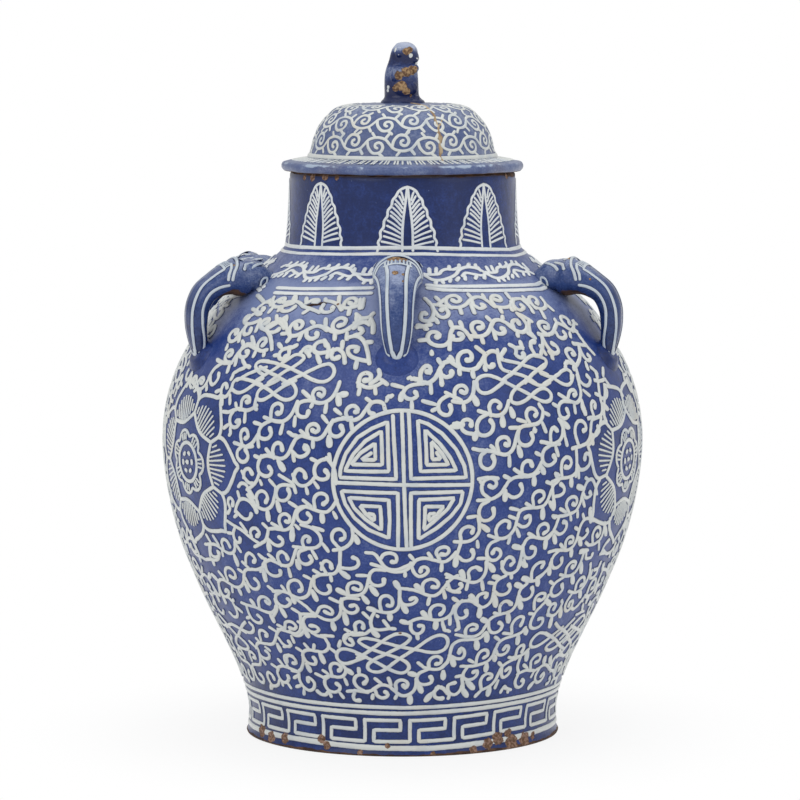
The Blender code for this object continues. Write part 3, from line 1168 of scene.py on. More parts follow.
    def make_head(self, glaze: Finish) -> None:
        """The head and trunk as one closed surface, the dark clay colours painted under the arch.

        Args:
            glaze: the finish.
        """
        share = np.concatenate(([0.0], np.linspace(0.0, 1.0, self.ROWS), [1.0]))
        angle = -full_turn(self.SIDES)
        grid = self.place_at(share[:, None], angle[None, :])
        grid[0] = grid[0].mean(axis=0)
        grid[-1] = grid[-1].mean(axis=0)
        grid = self.hug(grid, 1.6)
        grid[0] = grid[0].mean(axis=0)
        # Dark clay colours painted on the inner face under the arch, where it faces the wall.
        under = bell(np.degrees(np.abs(angle))[None, :] % 360, 180, 34)
        bare = under * bell(share[:, None], 0.36, 0.11) * 1.6
        head = put_lattice(f"head_{self.place}", grid, glaze, {"bare": np.clip(bare, 0, 1)})
        carry(head, Body.JAR, Slot.HANDLE, f"handle_{self.place}")

    def make_pad(self, glaze: Finish) -> None:
        """The pad: a round wad with two soft ledges, pressed on to the wall under the tip.

        Its height over the wall is a sum of smooth steps in the distance from its middle.

        Args:
            glaze: the finish.
        """
        skin = self.wall.skin
        middle = float(skin.run_at(self.top - self.shape.chord - self.PAD_DROP))
        ring = np.linspace(0.0, 1.0, self.PAD_RINGS)[::-1][:, None]
        turn = full_turn(self.PAD_SIDES)
        wobble = 1.0 + 0.02 * waves(turn, 11, 3)
        side = self.PAD_HALVES[0] * ring * np.cos(turn) * wobble
        up = self.PAD_HALVES[1] * ring * np.sin(turn) * wobble
        step_up = sum(rise / (1.0 + np.exp((ring - out) / soft)) for rise, out, soft in self.LEDGES)
        lift = step_up - 1.0 - 0.8 * bell(ring, 0.0, 0.3)
        run = middle + up
        reach = skin.reach_at(middle)
        points, _ = skin.place(self.bearing + side / reach, run, lift * np.ones_like(up))
        crown = points[-1:].mean(axis=1, keepdims=True).repeat(self.PAD_SIDES, axis=1)
        under, _ = skin.place(self.bearing + side[:1] / reach, run[:1], -1.6)
        row = np.ones((1, self.PAD_SIDES))
        centre, _ = skin.place(self.bearing * row, middle * row, -1.8)
        grid = np.vstack((centre, under, points, crown))
        pad = put_lattice(f"pad_{self.place}", grid, glaze)
        carry(pad, Body.JAR, Slot.HANDLE, f"handle_pad_{self.place}")


# Pieces of the lid


@dataclass
class LidShell:
    """The lid's domed shell over its flat flange, greyer and more worn than the jar.

    Attributes:
        outer: (radius, height) of the solid lid from under its edge up to the dome's middle.
        inner: (radius, height) of its inside, from the middle down to the underside.
        sunk: how far the glaze lies inside the solid over the dome, room for the slip.
        flange_sunk: the same on the flange.
        dome_foot: the height where the dome leaves the flange.
        dented: how far the edge is knocked out of round.
    """

    outer: Line = (
        (80.1, 382.7), (81.72, 384.5), (82.0, 386.66), (80.77, 388.7), (76.0, 389.7),
        (70.5, 390.75), (65.5, 391.7), (64.14, 393.83), (62.88, 396.18), (61.73, 400.3),
        (60.59, 404.75), (59.09, 408.92), (57.12, 412.96), (53.89, 417.32), (50.3, 421.17),
        (47.86, 423.46), (45.2, 425.27), (41.33, 426.72), (36.68, 427.69), (27.96, 428.43),
        (18.34, 428.81), (8.0, 428.98), (0.0, 429.0),
    )
    inner: Line = (
        (0, 423.0), (18.1, 422.82), (35.92, 421.74), (42.52, 419.9), (46.02, 416.97),
        (52.02, 409.8), (54.85, 403.0), (57.26, 394.08), (60.44, 388.47), (60.8, 383.2),
        (62.4, 382.75), (72.0, 382.75), (78.6, 382.75),
    )
    sunk: float = 0.7
    flange_sunk: float = 0.12
    dome_foot: float = 391.0
    dented: float = 0.16
    sides: int = 240
    skin: Skin = field(init=False)

    # Where each comes in, and over how many millimetres: the dents and the waves by radius,
    # the bare underside and the dome's inner face by height
    DENTED = (76.0, 4.0)
    WAVY = (66.0, 8.0)
    UNDER = (383.6, -0.8)
    INSIDE = (384.0, 2.0)
    # The lowest height of the flange, and the middle of the pale mark on its edge: worn glaze in
    # part, and in part a painted highlight along the top of the rounded edge
    LOWEST = 382.72
    WORN_AND_HIGHLIGHT = (81.0, 388.4)

    def __post_init__(self) -> None:
        """Sets the glazed face a little inside the solid one."""
        solid = Skin(smooth_curve(np.array(self.outer), 5))
        dome = solid.outline[:, 1:] > self.dome_foot
        outline = solid.outline - np.where(dome, self.sunk, self.flange_sunk) * solid.outward
        outline[-1, 0] = 0.0
        outline[0, 1] = 382.8
        self.skin = Skin(outline)

    def make(self, glaze: Finish) -> None:
        """Turns the whole section, its edge knocked a little out of round.

        Args:
            glaze: the finish.
        """
        inner = smooth_curve(np.array(self.inner), 3)
        outline = np.vstack((inner, self.skin.outline))
        grid = turned_grid(outline, self.sides)
        turn = full_turn(self.sides)
        radius, height = outline[:, :1], outline[:, 1:2]
        outside = (np.arange(len(outline)) >= len(inner))[:, None]
        edge = ramp(radius, *self.DENTED)
        dent = 0.1 + self.dented * waves(turn, 21, 6) + self.dented * waves(turn * 9, 4, 3)
        dent = np.clip(dent, 0.0, 0.8) * edge
        shrink = 1.0 - dent / np.maximum(radius, 1.0)
        grid[..., 0] *= shrink
        grid[..., 1] *= shrink
        rise = ramp(radius, *self.WAVY) * outside * 0.3 * waves(turn * 3, 31, 4)
        grid[..., 2] = np.maximum(grid[..., 2] + rise * MM, self.LOWEST * MM)
        # A pale band round the top of the flange's rounded edge, kept as the worn mark: partly
        # wear, partly a painted highlight.
        worn = bell(radius, self.WORN_AND_HIGHLIGHT[0], 1.6) * bell(height, self.WORN_AND_HIGHLIGHT[1], 1.3)
        worn = np.where(outside, worn, 0.0)
        worn = worn * (0.55 + 0.4 * waves(turn * 5, 17, 4))
        across = np.ones((1, self.sides))
        under = ramp(height, *self.UNDER) * across
        inside = np.where(outside, 0.0, 1.0) * ramp(height, *self.INSIDE) * across
        marks = {"worn": np.clip(worn, 0, 1.2), "bare": under, "inner": inside}
        shell = put_lattice("lid_shell", grid, glaze, marks, sharp=60.0)
        carry(shell, Body.LID, Slot.LID, "lid_cover")


@dataclass(frozen=True)
class Collar:
    """The bare clay ring under the flange that centres the lid in the neck.

    Attributes:
        inner: radius of its inside.
        outer: radius of its outside.
        low: height of its lower edge.
        top: height of its upper edge.
        edge: how far its lower corners are rounded.
    """

    inner: float = 61.7
    outer: float = 66.7
    low: float = 369.4
    top: float = 382.4
    edge: float = 1.25
    sides: int = 200

    def make(self, clay: Finish) -> None:
        """Turns a ring whose lower edges are rounded.

        Args:
            clay: the finish.
        """
        inner, outer, low, edge = self.inner, self.outer, self.low, self.edge
        section = np.array((
            (inner, self.top), (inner, low + edge), (inner + 0.4 * edge, low + 0.3 * edge),
            (inner + edge, low), (outer - edge, low), (outer - 0.4 * edge, low + 0.3 * edge),
            (outer, low + edge), (outer, self.top),
        ))
        grid = turned_grid(section, self.sides)
        verts, _, quads, tris = lattice(np.concatenate((grid, grid[:1])))
        verts = verts[: grid.shape[0] * grid.shape[1]]
        quads = quads % len(verts)
        ring = put_mesh("lid_collar_ring", verts, quads, clay, tris, sharp=50.0)
        carry(ring, Body.LID, Slot.CLAY, "lid_collar")


def ball(centre: tuple[float, ...], halves: tuple[float, ...], tilt: float) -> np.ndarray:
    """An egg-shaped lump as a grid in metres.

    Point (k, j) is the centre plus the half sizes times the sine of k times the cosine and
    sine of j, and minus the cosine of k upwards, tipped about Y by the tilt in degrees.

    Args:
        centre: in millimetres.
        halves: half sizes along X, Y and Z.
        tilt: how far it is tipped.

    Returns:
        The points as (rows, columns, 3).
    """
    rise = np.linspace(0.0, math.pi, 15)[:, None]
    turn = full_turn(24)
    x = halves[0] * np.sin(rise) * np.cos(turn)
    y = halves[1] * np.sin(rise) * np.sin(turn)
    z = -halves[2] * np.cos(rise) * np.ones_like(turn)
    lean = math.radians(tilt)
    tipped = (x * math.cos(lean) + z * math.sin(lean), y, z * math.cos(lean) - x * math.sin(lean))
    return (np.stack(tipped, axis=-1) + np.array(centre)) * MM


@dataclass(frozen=True)
class Beast:
    """The seated beast on the lid, which looks towards +X.

    Attributes:
        top: the height of the lid's middle.
        torso: height over the lid, middle in x, half width in x and half depth in y.
        lumps: middle, half sizes and tilt of each lump of clay pressed on; a lump off the
            middle is made on both sides.
        voxel: the size in metres of the voxels that join the lumps.
        smoothing: how many times their surface is smoothed.
    """

    top: float = 429.0
    torso: Table = (
        (-1.2, 0.2, 15.2, 13.0), (0.5, 0.2, 14.6, 12.6), (1.8, 0.0, 13.0, 11.2),
        (4.0, -0.4, 11.7, 9.8), (8.0, -0.7, 11.6, 9.7), (13.0, -0.8, 11.5, 9.5),
        (18.5, -0.8, 11.2, 9.0), (22.0, -0.6, 10.6, 8.0), (25.5, -0.2, 9.8, 7.0),
        (28.5, 0.5, 9.5, 7.3), (32.0, 1.1, 9.3, 7.7), (35.5, 1.4, 8.4, 7.2),
        (38.2, 1.5, 6.4, 5.6), (39.8, 1.6, 3.6, 3.4), (40.3, 1.6, 0.0, 0.0),
    )
    lumps: tuple[tuple[tuple[float, ...], tuple[float, ...], float], ...] = (
        ((0.8, 7.4, 8.8), (7.4, 3.9, 6.4), 14.0),
        ((6.6, 6.6, 9.6), (3.6, 3.3, 4.4), -20.0),
        ((7.4, 5.4, 2.4), (4.4, 3.2, 2.6), 0.0),
        ((-3.6, 7.4, 19.0), (4.4, 3.2, 6.0), 24.0),
        ((1.6, 7.6, 19.6), (4.6, 2.9, 4.0), -30.0),
        ((6.2, 5.6, 22.2), (5.0, 3.1, 3.4), -8.0),
        ((7.9, 2.2, 21.6), (2.8, 2.6, 2.9), 0.0),
        ((-2.8, 7.4, 33.6), (2.7, 1.9, 3.6), -18.0),
        ((6.6, 3.7, 35.2), (3.0, 2.9, 1.9), 12.0),
        ((7.7, 0.0, 29.4), (3.6, 5.6, 2.9), 8.0),
        ((9.1, 0.0, 31.2), (1.9, 2.5, 1.6), 0.0),
        ((8.3, 3.0, 28.0), (2.5, 2.6, 2.1), 0.0),
        ((7.2, 0.0, 25.6), (3.0, 4.2, 1.7), -6.0),
        ((-10.0, 0.0, 8.0), (2.2, 2.8, 7.0), 6.0),
        ((0.0, 0.0, 39.2), (4.6, 2.0, 1.0), -6.0),
    )
    voxel: float = 0.00042
    smoothing: int = 7

    def parts(self) -> list[np.ndarray]:
        """The torso's loft and every lump as closed grids.

        Returns:
            The grids, as lattice takes them.
        """
        table = smooth_curve(np.array(self.torso), 3)
        table[:, 2:] = np.maximum(table[:, 2:], 0.0)
        turn = full_turn(44)
        x = table[:, 1:2] + table[:, 2:3] * np.cos(turn)
        y = table[:, 3:4] * np.sin(turn)
        z = (self.top + table[:, :1]) * np.ones_like(turn)
        loft = np.stack((x, y, z), axis=-1) * MM
        base = loft[:1].mean(axis=1, keepdims=True).repeat(len(turn), axis=1)
        made = [np.concatenate((base, loft))]
        for (out, apart, up), halves, tilt in self.lumps:
            for side in (-1, 1) if apart else (0,):
                made.append(ball((out, side * apart, self.top + up), halves, tilt))
        return made

    def make(self, glaze: Finish) -> None:
        """Joins the lumps into one skin of clay by voxels, then smooths it.

        Args:
            glaze: the finish.
        """
        verts, quads, tris = joined(self.parts())
        beast = put_mesh("beast", verts, quads, glaze, tris)
        blend = beast.modifiers.new("one_skin", "REMESH")
        blend.mode = "VOXEL"
        blend.voxel_size = self.voxel
        blend.use_smooth_shade = True
        soften = beast.modifiers.new("soften", "SMOOTH")
        soften.factor = 0.5
        soften.iterations = self.smoothing
        carry(beast, Body.LID, Slot.FINIAL, "lid_finial")


# Drawing in slip


class Stroke(Enum):
    """Kinds of trailed stroke, each named by the letter that stands for it in a drawing."""

    STEM = "s"
    CURL = "c"
    BUD = "b"
    LOBE = "B"
    KNOT = "k"
    FRET = "r"


# Half widths in millimetres where each kind starts and where it ends
HALVES = {
    Stroke.STEM: (1.38, 1.38),
    Stroke.CURL: (1.38, 1.85),
    Stroke.BUD: (1.2, 1.5),
    Stroke.LOBE: (1.6, 2.3),
    Stroke.KNOT: (1.42, 1.42),
    Stroke.FRET: (1.42, 1.42),
}
# The rest are millimetres. TIP is taken off a bud's end, whose round tip reaches further
TIP = 1.1
# How far a line's middle lies inside its drawn outer side, and how soon a bend counts
BEND_INSET = 0.85
BEND_SHARPNESS = 10.0
# The last stretch of a curl, which stays where it is drawn
CURL_END = 5.0
# The stretch over which a line's width changes at its end
WIDTH_END = 4.0
# The share of half a turn through which a bud's width swells
BUD_ARC = 0.75
# The spacing of a line's points
STEP = 1.4
# Where a line that goes all round starts and ends, in degrees, and how far it wanders
ALL_ROUND = (-180.0, 180.5)
ROUND_STEP = 2.4
WANDER = 0.18


@dataclass(frozen=True)
class Trace:
    """One line on the wall: bearings, heights and half widths in step with each other."""

    bearing: np.ndarray
    height: np.ndarray
    half: np.ndarray


@dataclass(frozen=True)
class Patch:
    """A flat piece of the wall to draw on, in millimetres right and up from its origin.

    Attributes:
        skin: the wall's solid face.
        bearing: of the origin, in degrees.
        run: of the origin along the skin's outline.
        reach: the millimetres round the wall in one degree.
    """

    skin: Skin
    bearing: float
    run: float
    reach: float

    @classmethod
    def at(cls, skin: Skin, bearing: float, height: float) -> "Patch":
        """A patch whose origin is at a bearing and a height."""
        run = float(skin.run_at(height))
        return cls(skin, bearing, run, skin.reach_at(run))

    def lay(self, flat: np.ndarray, half: np.ndarray) -> Trace:
        """Lays a flat line on the wall."""
        height = np.interp(self.run + flat[:, 1], self.skin.run, self.skin.outline[:, 1])
        return Trace(self.bearing + flat[:, 0] / self.reach, height, half)

    def line(self, flat: np.ndarray, half: float) -> Trace:
        """Lays a flat line of one half width, its points at even spacing."""
        path = resampled(flat, STEP)
        return self.lay(path, np.full(len(path), half))


def brushed(
    points: np.ndarray, stroke: Stroke, weight: float = 1.0
) -> tuple[np.ndarray, np.ndarray]:
    """A stroke's middle line, from points drawn along the outer side of its bends.

    The points are joined by a smooth curve. Each point then moves towards the middle of its
    bend by BEND_INSET times the hyperbolic tangent of BEND_SHARPNESS times the curvature,
    but a curl's last stretch stays where it is drawn.

    Args:
        points: flat points in millimetres.
        stroke: the kind of stroke.
        weight: how many times the usual width.

    Returns:
        The middle line's points and the half width at each.
    """
    if stroke is not Stroke.FRET and len(points) > 2:
        points = smooth_curve(points, 8)
    path = resampled(points, STEP)
    run = run_along(path)
    if stroke is not Stroke.FRET:
        bend = np.gradient(directions(np.gradient(path, run, axis=0)), run, axis=0)
        bend[1:-1] = (bend[:-2] + bend[1:-1] + bend[2:]) / 3
        curvature = np.maximum(np.linalg.norm(bend, axis=1), 1e-9)
        inset = BEND_INSET * np.tanh(BEND_SHARPNESS * curvature) / curvature
        if stroke is Stroke.CURL:
            inset *= np.clip((run[-1] - run) / CURL_END, 0.0, 1.0)
        path = path + inset[:, None] * bend
    first, last = (weight * half for half in HALVES[stroke])
    if stroke in (Stroke.BUD, Stroke.LOBE):
        keep = max(3, int((run[-1] - TIP) / STEP) + 2)
        path, run = path[:keep], run[:keep]
        return path, first + (last - first) * np.sin(math.pi * BUD_ARC * run / run[-1])
    return path, first + (last - first) * np.clip(1.0 - (run[-1] - run) / WIDTH_END, 0.0, 1.0)


def read_strokes(text: str) -> list[tuple[Stroke, np.ndarray]]:
    """Reads a drawing: a letter for each stroke's kind, then its points as x,y.

    Args:
        text: the drawing.

    Returns:
        Each stroke's kind and points.
    """
    drawn: list[tuple[Stroke, list[tuple[float, ...]]]] = []
    for word in text.split():
        if word.isalpha():
            drawn.append((Stroke(word), []))
        else:
            drawn[-1][1].append(tuple(map(float, word.split(","))))
    return [(stroke, np.array(points)) for stroke, points in drawn]


@dataclass(frozen=True)
class Sheet:
    """A drawing of one part of the wall, flattened out as seen from outside.

    A stroke is a letter for its kind and then its points along the outer side of its bends,
    as units right of and under the sheet's upper left corner. Twelve units are a millimetre,
    and the sheet starts 44 units left of its first bearing's line.

    Attributes:
        left: bearing of the left side, in degrees.
        right: bearing of the right side.
        low: height of the bottom, in millimetres.
        high: height of the top.
        strokes: the strokes.
        weight: how many times the usual width the strokes have.
    """

    left: float
    right: float
    low: float
    high: float
    strokes: str
    weight: float = 1.0

    UNITS = 12.0
    MARGIN = 44.0

    def lines(self, skin: Skin) -> list[Trace]:
        """Every stroke laid on the wall.

        Args:
            skin: the wall's solid face.

        Returns:
            The lines.
        """
        top, bottom = float(skin.run_at(self.high)), float(skin.run_at(self.low))
        patch = Patch(skin, self.left, top, skin.reach_at((top + bottom) / 2))
        made = []
        for stroke, points in read_strokes(self.strokes):
            flat = (points - (self.MARGIN, 0.0)) / (self.UNITS, -self.UNITS)
            weight = 1.0 if stroke is Stroke.KNOT else self.weight
            made.append(patch.lay(*brushed(flat, stroke, weight)))
        return made


def straight(points: Line, half: float, skin: Skin) -> Trace:
    """A line through (bearing, height) points, evenly spaced on the wall.

    Args:
        points: the points.
        half: half width in millimetres.
        skin: the surface.

    Returns:
        The line.
    """
    spots = np.array(points, dtype=float)
    reach = skin.reach_at(skin.run_at(spots[0, 1]))
    path = resampled(np.column_stack((spots[:, 0] * reach, spots[:, 1])), STEP)
    return Trace(path[:, 0] / reach, path[:, 1], np.full(len(path), half))


def band_line(skin: Skin, level: Line, half: float) -> Trace:
    """A line all round a skin whose height follows (bearing, height) points.

    Args:
        skin: the wall's solid face, or the lid's glazed one.
        level: the points, repeated each full turn.
        half: half width in millimetres.

    Returns:
        The line.
    """
    radius = float(skin.radius_at(skin.run_at(level[0][1])))
    count = int(math.radians(ALL_ROUND[1] - ALL_ROUND[0]) * radius / ROUND_STEP) + 4
    bearing = np.linspace(*ALL_ROUND, count)
    stops = np.array(level)
    height = np.interp(bearing, stops[:, 0], stops[:, 1], period=360.0)
    height = height + WANDER * waves(np.radians(bearing) * 2, int(level[0][1] * 10), 5)
    return Trace(bearing, height, np.full(count, half))


def trail(
    trailer: Trailer,
    skin: Skin,
    traces: list[Trace],
    bend: tuple[tuple[float, ...], tuple[float, ...]] | None = None,
    keep_out: tuple[tuple[float, float, float, float], ...] = (),
) -> None:
    """Trails lines on a skin.

    Args:
        trailer: what gathers them.
        skin: the surface.
        traces: the lines, as drawn at the front.
        bend: rising bearings at the front, which is all that is kept, and the bearings that
            they are carried to.
        keep_out: ovals as bearing, height, half span in degrees and half height, in which
            no line lies.
    """
    for trace in traces:
        bearing, height = trace.bearing, trace.height
        clear = np.ones(len(height), dtype=bool)
        if bend is not None:
            clear &= (bearing >= bend[0][0]) & (bearing <= bend[0][-1])
            bearing = np.interp(bearing, *bend)
        for middle, level, wide, tall in keep_out:
            apart = (bearing - middle + 180.0) % 360.0 - 180.0
            clear &= (apart / wide) ** 2 + ((height - level) / tall) ** 2 > 1.0
        edges = np.flatnonzero(np.diff(np.concatenate(([0], clear.astype(int), [0]))))
        for start, stop in edges.reshape(-1, 2):
            if stop - start >= 3:
                points, square = skin.place(bearing[start:stop], skin.run_at(height[start:stop]))
                trailer.add(points, square, trace.half[start:stop])


@dataclass(frozen=True)
class Roundel:
    """The round key pattern: a ring, a cross and a squared spiral in each quarter.

    The corners of the cross and of the spirals are units right of and under the drawing's
    upper left corner.

    Attributes:
        bearing: of its middle.
        height: of its middle.
        radius: of the ring, in millimetres.
        half: the ring's half width.
    """

    bearing: float = 0.0
    height: float = 190.0
    radius: float = 45.8
    half: float = 1.5

    UNITS = 7.6
    RING_POINTS = 190
    MIDDLE = (374.0, 403.0)
    STROKES = """
        r 370,62 375,200 381,420 386,560 395,742 r 34,414 200,416 380,421 550,423 712,425
        r 325,84 331,200 338,300 342,392 200,390 62,388 66,345 92,270 150,190 220,145 298,112
        302,230 306,354 200,356 88,354 130,272 190,206 268,157 272,240 274,322 120,322 165,266
        238,217 240,298 172,298 218,266
        r 405,70 410,200 415,390 560,387 690,388 680,330 640,250 570,170 500,122 450,105
        456,220 462,354 550,352 640,352 610,290 560,222 486,152 490,240 492,322 600,322 570,270
        516,207 520,296 562,294 542,264
        r 350,740 352,600 350,461 200,459 68,455 85,520 130,590 200,650 303,692 309,600
        305,497 200,492 105,488 130,540 190,600 266,650 266,590 262,530 160,528 190,570
        230,605 232,572 206,568
        r 418,738 415,600 415,461 540,460 675,458 665,520 620,580 550,640 456,698 455,600
        455,495 540,493 632,490 600,545 540,600 482,650 486,590 486,530 580,531 550,570
        506,604 506,568 532,566
    """

    def lines(self, skin: Skin) -> list[Trace]:
        """The ring and the strokes laid on the wall.

        Args:
            skin: the wall's solid face.

        Returns:
            The lines.
        """
        patch = Patch.at(skin, self.bearing, self.height)
        turn = np.linspace(0.0, 2 * math.pi, self.RING_POINTS)
        ring = self.radius * np.column_stack((np.cos(turn), np.sin(turn)))
        made = [patch.lay(ring, np.full(len(ring), self.half))]
        for stroke, points in read_strokes(self.STROKES):
            flat = (points - self.MIDDLE) / (self.UNITS, -self.UNITS)
            made.append(patch.lay(*brushed(flat, stroke)))
        return made


@dataclass(frozen=True)
class Lotus:
    """A lotus flower, its petals combed, laid flat round a middle on the wall.

    Attributes:
        bearing: of its middle.
        height: of its middle.
        tips: the petals' directions in degrees, anticlockwise from +bearing.
        spread: half the angle of one petal.
        rim: (share of the half angle, radius) of a petal's edge.
        arc: radius of a petal's inner arc at its middle, and what its sides add.
        side: radii where the line between two petals starts and ends.
        comb: teeth each side of the middle one, and their spacing in half angles.
        tooth: radii of the middle tooth's ends.
        shorter: what the square of a tooth's number adds to each of these.
        small: a small petal's half angle in half angles, its radius and what its sides add.
        veins: a small petal's veins: their spacing in half angles and their radii.
        heart: radius of the ring, and of the dots in it.
        dots: how many dots there are and the degrees that each is long.
    """

    bearing: float
    height: float
    tips: tuple[float, ...]
    spread: float = 25.7
    rim: Line = (
        (0.0, 57.6), (0.13, 54.4), (0.45, 51.0), (0.75, 48.2), (0.92, 45.6), (1.0, 43.0),
    )
    arc: tuple[float, float] = (27.0, 7.0)
    side: tuple[float, float] = (34.0, 42.0)
    comb: tuple[int, float] = (4, 0.19)
    tooth: tuple[float, float] = (28.5, 44.5)
    shorter: tuple[float, float] = (0.4, -0.35)
    small: tuple[float, float, float] = (0.9, 21.5, -4.5)
    veins: tuple[float, tuple[float, float]] = (0.35, (15.5, 19.0))
    heart: tuple[float, float] = (13.0, 6.5)
    dots: tuple[int, float] = (6, 9.0)

    # Half widths in millimetres
    EDGE, ARC, SIDE, TOOTH = 1.55, 1.5, 1.4, 0.75
    SMALL, VEIN, RING, DOT, MIDDLE = 1.2, 0.8, 1.5, 1.6, 1.8

    def ray(self, angle: np.ndarray, radius: np.ndarray) -> np.ndarray:
        """Flat points at angles in degrees and radii."""
        turn = np.radians(angle)
        return np.column_stack((radius * np.cos(turn), radius * np.sin(turn)))

    def spoke(self, angle: float, radii: tuple[float, float] | np.ndarray) -> np.ndarray:
        """A straight line outwards at one angle between two radii."""
        return self.ray(np.full(2, angle), np.array(radii))

    def lines(self, skin: Skin) -> list[Trace]:
        """Petal edges, arcs, combs and the heart.

        Args:
            skin: the wall's solid face.

        Returns:
            The lines.
        """
        patch = Patch.at(skin, self.bearing, self.height)
        share = np.linspace(-1.0, 1.0, 41)
        stops = np.array(self.rim)
        drawn = []
        for tip in self.tips:
            angle = tip + self.spread * share
            edge = np.interp(np.abs(share), stops[:, 0], stops[:, 1])
            drawn.append((self.ray(angle, edge), self.EDGE))
            drawn.append((self.ray(angle, self.arc[0] + self.arc[1] * share**2), self.ARC))
            drawn.append((self.spoke(tip + self.spread, self.side), self.SIDE))
            teeth, spacing = self.comb
            for k in range(-teeth, teeth + 1):
                reach = np.array(self.tooth) + np.array(self.shorter) * k * k
                drawn.append((self.spoke(tip + self.spread * spacing * k, reach), self.TOOTH))
            half_angle, radius, more = self.small
            small = np.linspace(-half_angle, half_angle, 15)
            petal = self.ray(tip + self.spread * small, radius + more * small**2)
            drawn.append((petal, self.SMALL))
            spacing, root = self.veins
            for k in (-1, 0, 1):
                drawn.append((self.spoke(tip + self.spread * spacing * k, root), self.VEIN))
        ring, seeds = self.heart
        count, length = self.dots
        drawn.append((self.ray(np.linspace(0.0, 360.0, 60), np.full(60, ring)), self.RING))
        for k in range(count):
            start = 360.0 / count * k
            drawn.append((self.ray(np.array((start, start + length)), np.full(2, seeds)), self.DOT))
        drawn.append((self.ray(np.array((0.0, 180.0)), np.full(2, 0.5)), self.MIDDLE))
        return [patch.line(flat, half) for flat, half in drawn]


@dataclass(frozen=True)
class Leaf:
    """A plantain leaf standing on the foot of the neck.

    Attributes:
        bearing: of its middle.
        height: of its tip.
        wide: how many times the usual width it is.
        skin: the wall's solid face.
        edge: (drop below the tip, half width) points of its scalloped edge.
        rib: (drop, half width) points of the lens between its two midrib lines.
    """

    bearing: float
    height: float
    wide: float
    skin: Skin
    edge: Line = (
        (0.0, 0.0), (1.0, 3.2), (3.2, 6.0), (6.2, 7.6), (8.8, 9.8), (12.6, 10.4), (15.4, 12.8),
        (19.4, 13.2), (22.6, 15.4), (26.4, 15.5), (29.8, 17.8), (33.6, 17.4), (36.6, 19.2),
        (39.0, 18.4), (42.4, 19.4),
    )
    rib: Line = (
        (1.0, 0.2), (6.0, 0.8), (12.0, 1.5), (20.0, 2.6), (28.0, 3.3), (42.0, 3.4),
    )

    def lines(self) -> list[Trace]:
        """Edge, midrib and veins of both halves.

        Returns:
            The lines.
        """
        patch = Patch.at(self.skin, self.bearing, self.height)
        edge, rib = np.array(self.edge), np.array(self.rib)
        made = []
        for side in (-self.wide, self.wide):
            drawn = [(smooth_curve(edge, 4), 1.0), (smooth_curve(rib, 6), 0.95)]
            for root in np.arange(8.6, 41.5, 2.75):
                steep = np.interp(root, (9.0, 26.0, 41.0), (5.0, 6.2, 2.2))
                start = np.interp(root, rib[:, 0], rib[:, 1]) + 1.4
                stop = np.interp(root - steep, edge[:, 0], edge[:, 1]) - 2.2
                middle = np.array((root - 0.56 * steep, (start + stop) / 2))
                vein = np.array(((root, start), middle, (root - steep, stop)))
                drawn.append((smooth_curve(vein, 5), 0.8))
            for line, half in drawn:
                made.append(patch.line(np.column_stack((side * line[:, 1], -line[:, 0])), half))
        return made


@dataclass(frozen=True)
class Frieze:
    """The vine round the shoulder: an arch, a dip, their hooks and the dabs beside them.

    Attributes:
        skin: the wall's solid face.
        middle: height of the vine's middle.
        arches: bearings of the arches' tops that the eye can follow from the front.
        behind: how many more arches go round the back.
        drawn_for: the degrees between arches that the strokes are drawn for.
        strokes: half width and (bearing, height) points from the arch's top of each stroke.
    """

    skin: Skin
    middle: float = 318.8
    arches: tuple[float, ...] = (-50.0, -26.0, 1.0, 28.0, 54.0)
    behind: int = 11
    drawn_for: float = 24.0
    strokes: tuple[tuple[float, Line], ...] = (
        (1.5, ((-17.2, -0.8), (-14.7, -3.6), (-12.0, -4.0), (-8.7, -2.8), (-5.5, -0.6),
               (-3.6, 2.0), (0.0, 3.5), (4.0, 2.4), (6.8, -0.8))),
        (1.4, ((-3.4, -1.8), (-1.6, 0.0), (1.4, -1.0), (4.9, -1.9), (6.8, -0.2))),
        (1.4, ((-17.3, -0.3), (-14.2, -0.6), (-11.8, -0.2), (-10.4, 1.7), (-8.4, 2.6),
               (-6.1, 2.2), (-4.1, 3.1))),
        (1.6, ((-18.8, 1.2), (-18.9, 2.6))), (1.6, ((-15.2, 0.4), (-15.0, 2.7))),
        (1.5, ((-12.8, 0.8), (-12.3, 3.0))), (1.6, ((-7.4, 2.4), (-7.0, 4.0))),
        (1.6, ((-3.2, 3.5), (-2.7, 4.7))), (1.6, ((0.3, 3.5), (1.6, 5.0))),
        (1.5, ((3.4, 2.8), (4.4, 4.5))), (1.6, ((-13.9, -5.8), (-13.6, -4.6))),
        (1.6, ((-11.3, -5.6), (-11.4, -4.6))), (1.5, ((-8.9, -5.0), (-8.3, -3.8))),
        (1.6, ((-6.2, -4.2), (-5.3, -3.0))), (1.5, ((-3.0, -3.9), (-2.6, -2.4))),
        (1.5, ((1.0, -3.6), (1.9, -2.4))), (1.6, ((4.6, -3.6), (5.2, -2.5))),
    )

    def lines(self) -> list[Trace]:
        """Every stroke at every arch, stretched to the arches' spacing.

        Returns:
            The lines.
        """
        first, last = self.arches[0] + 360.0, self.arches[-1]
        tops = list(self.arches) + list(np.linspace(last, first, self.behind + 1)[1:])
        made = []
        for before, top in zip(tops[:-1], tops[1:]):
            stretch = (top - before) / self.drawn_for
            for half, points in self.strokes:
                spots = drawn_curve(points, 6)
                spots = np.column_stack((top + stretch * spots[:, 0], self.middle + spots[:, 1]))
                made.append(straight(tuple(map(tuple, spots)), half, self.skin))
        return made


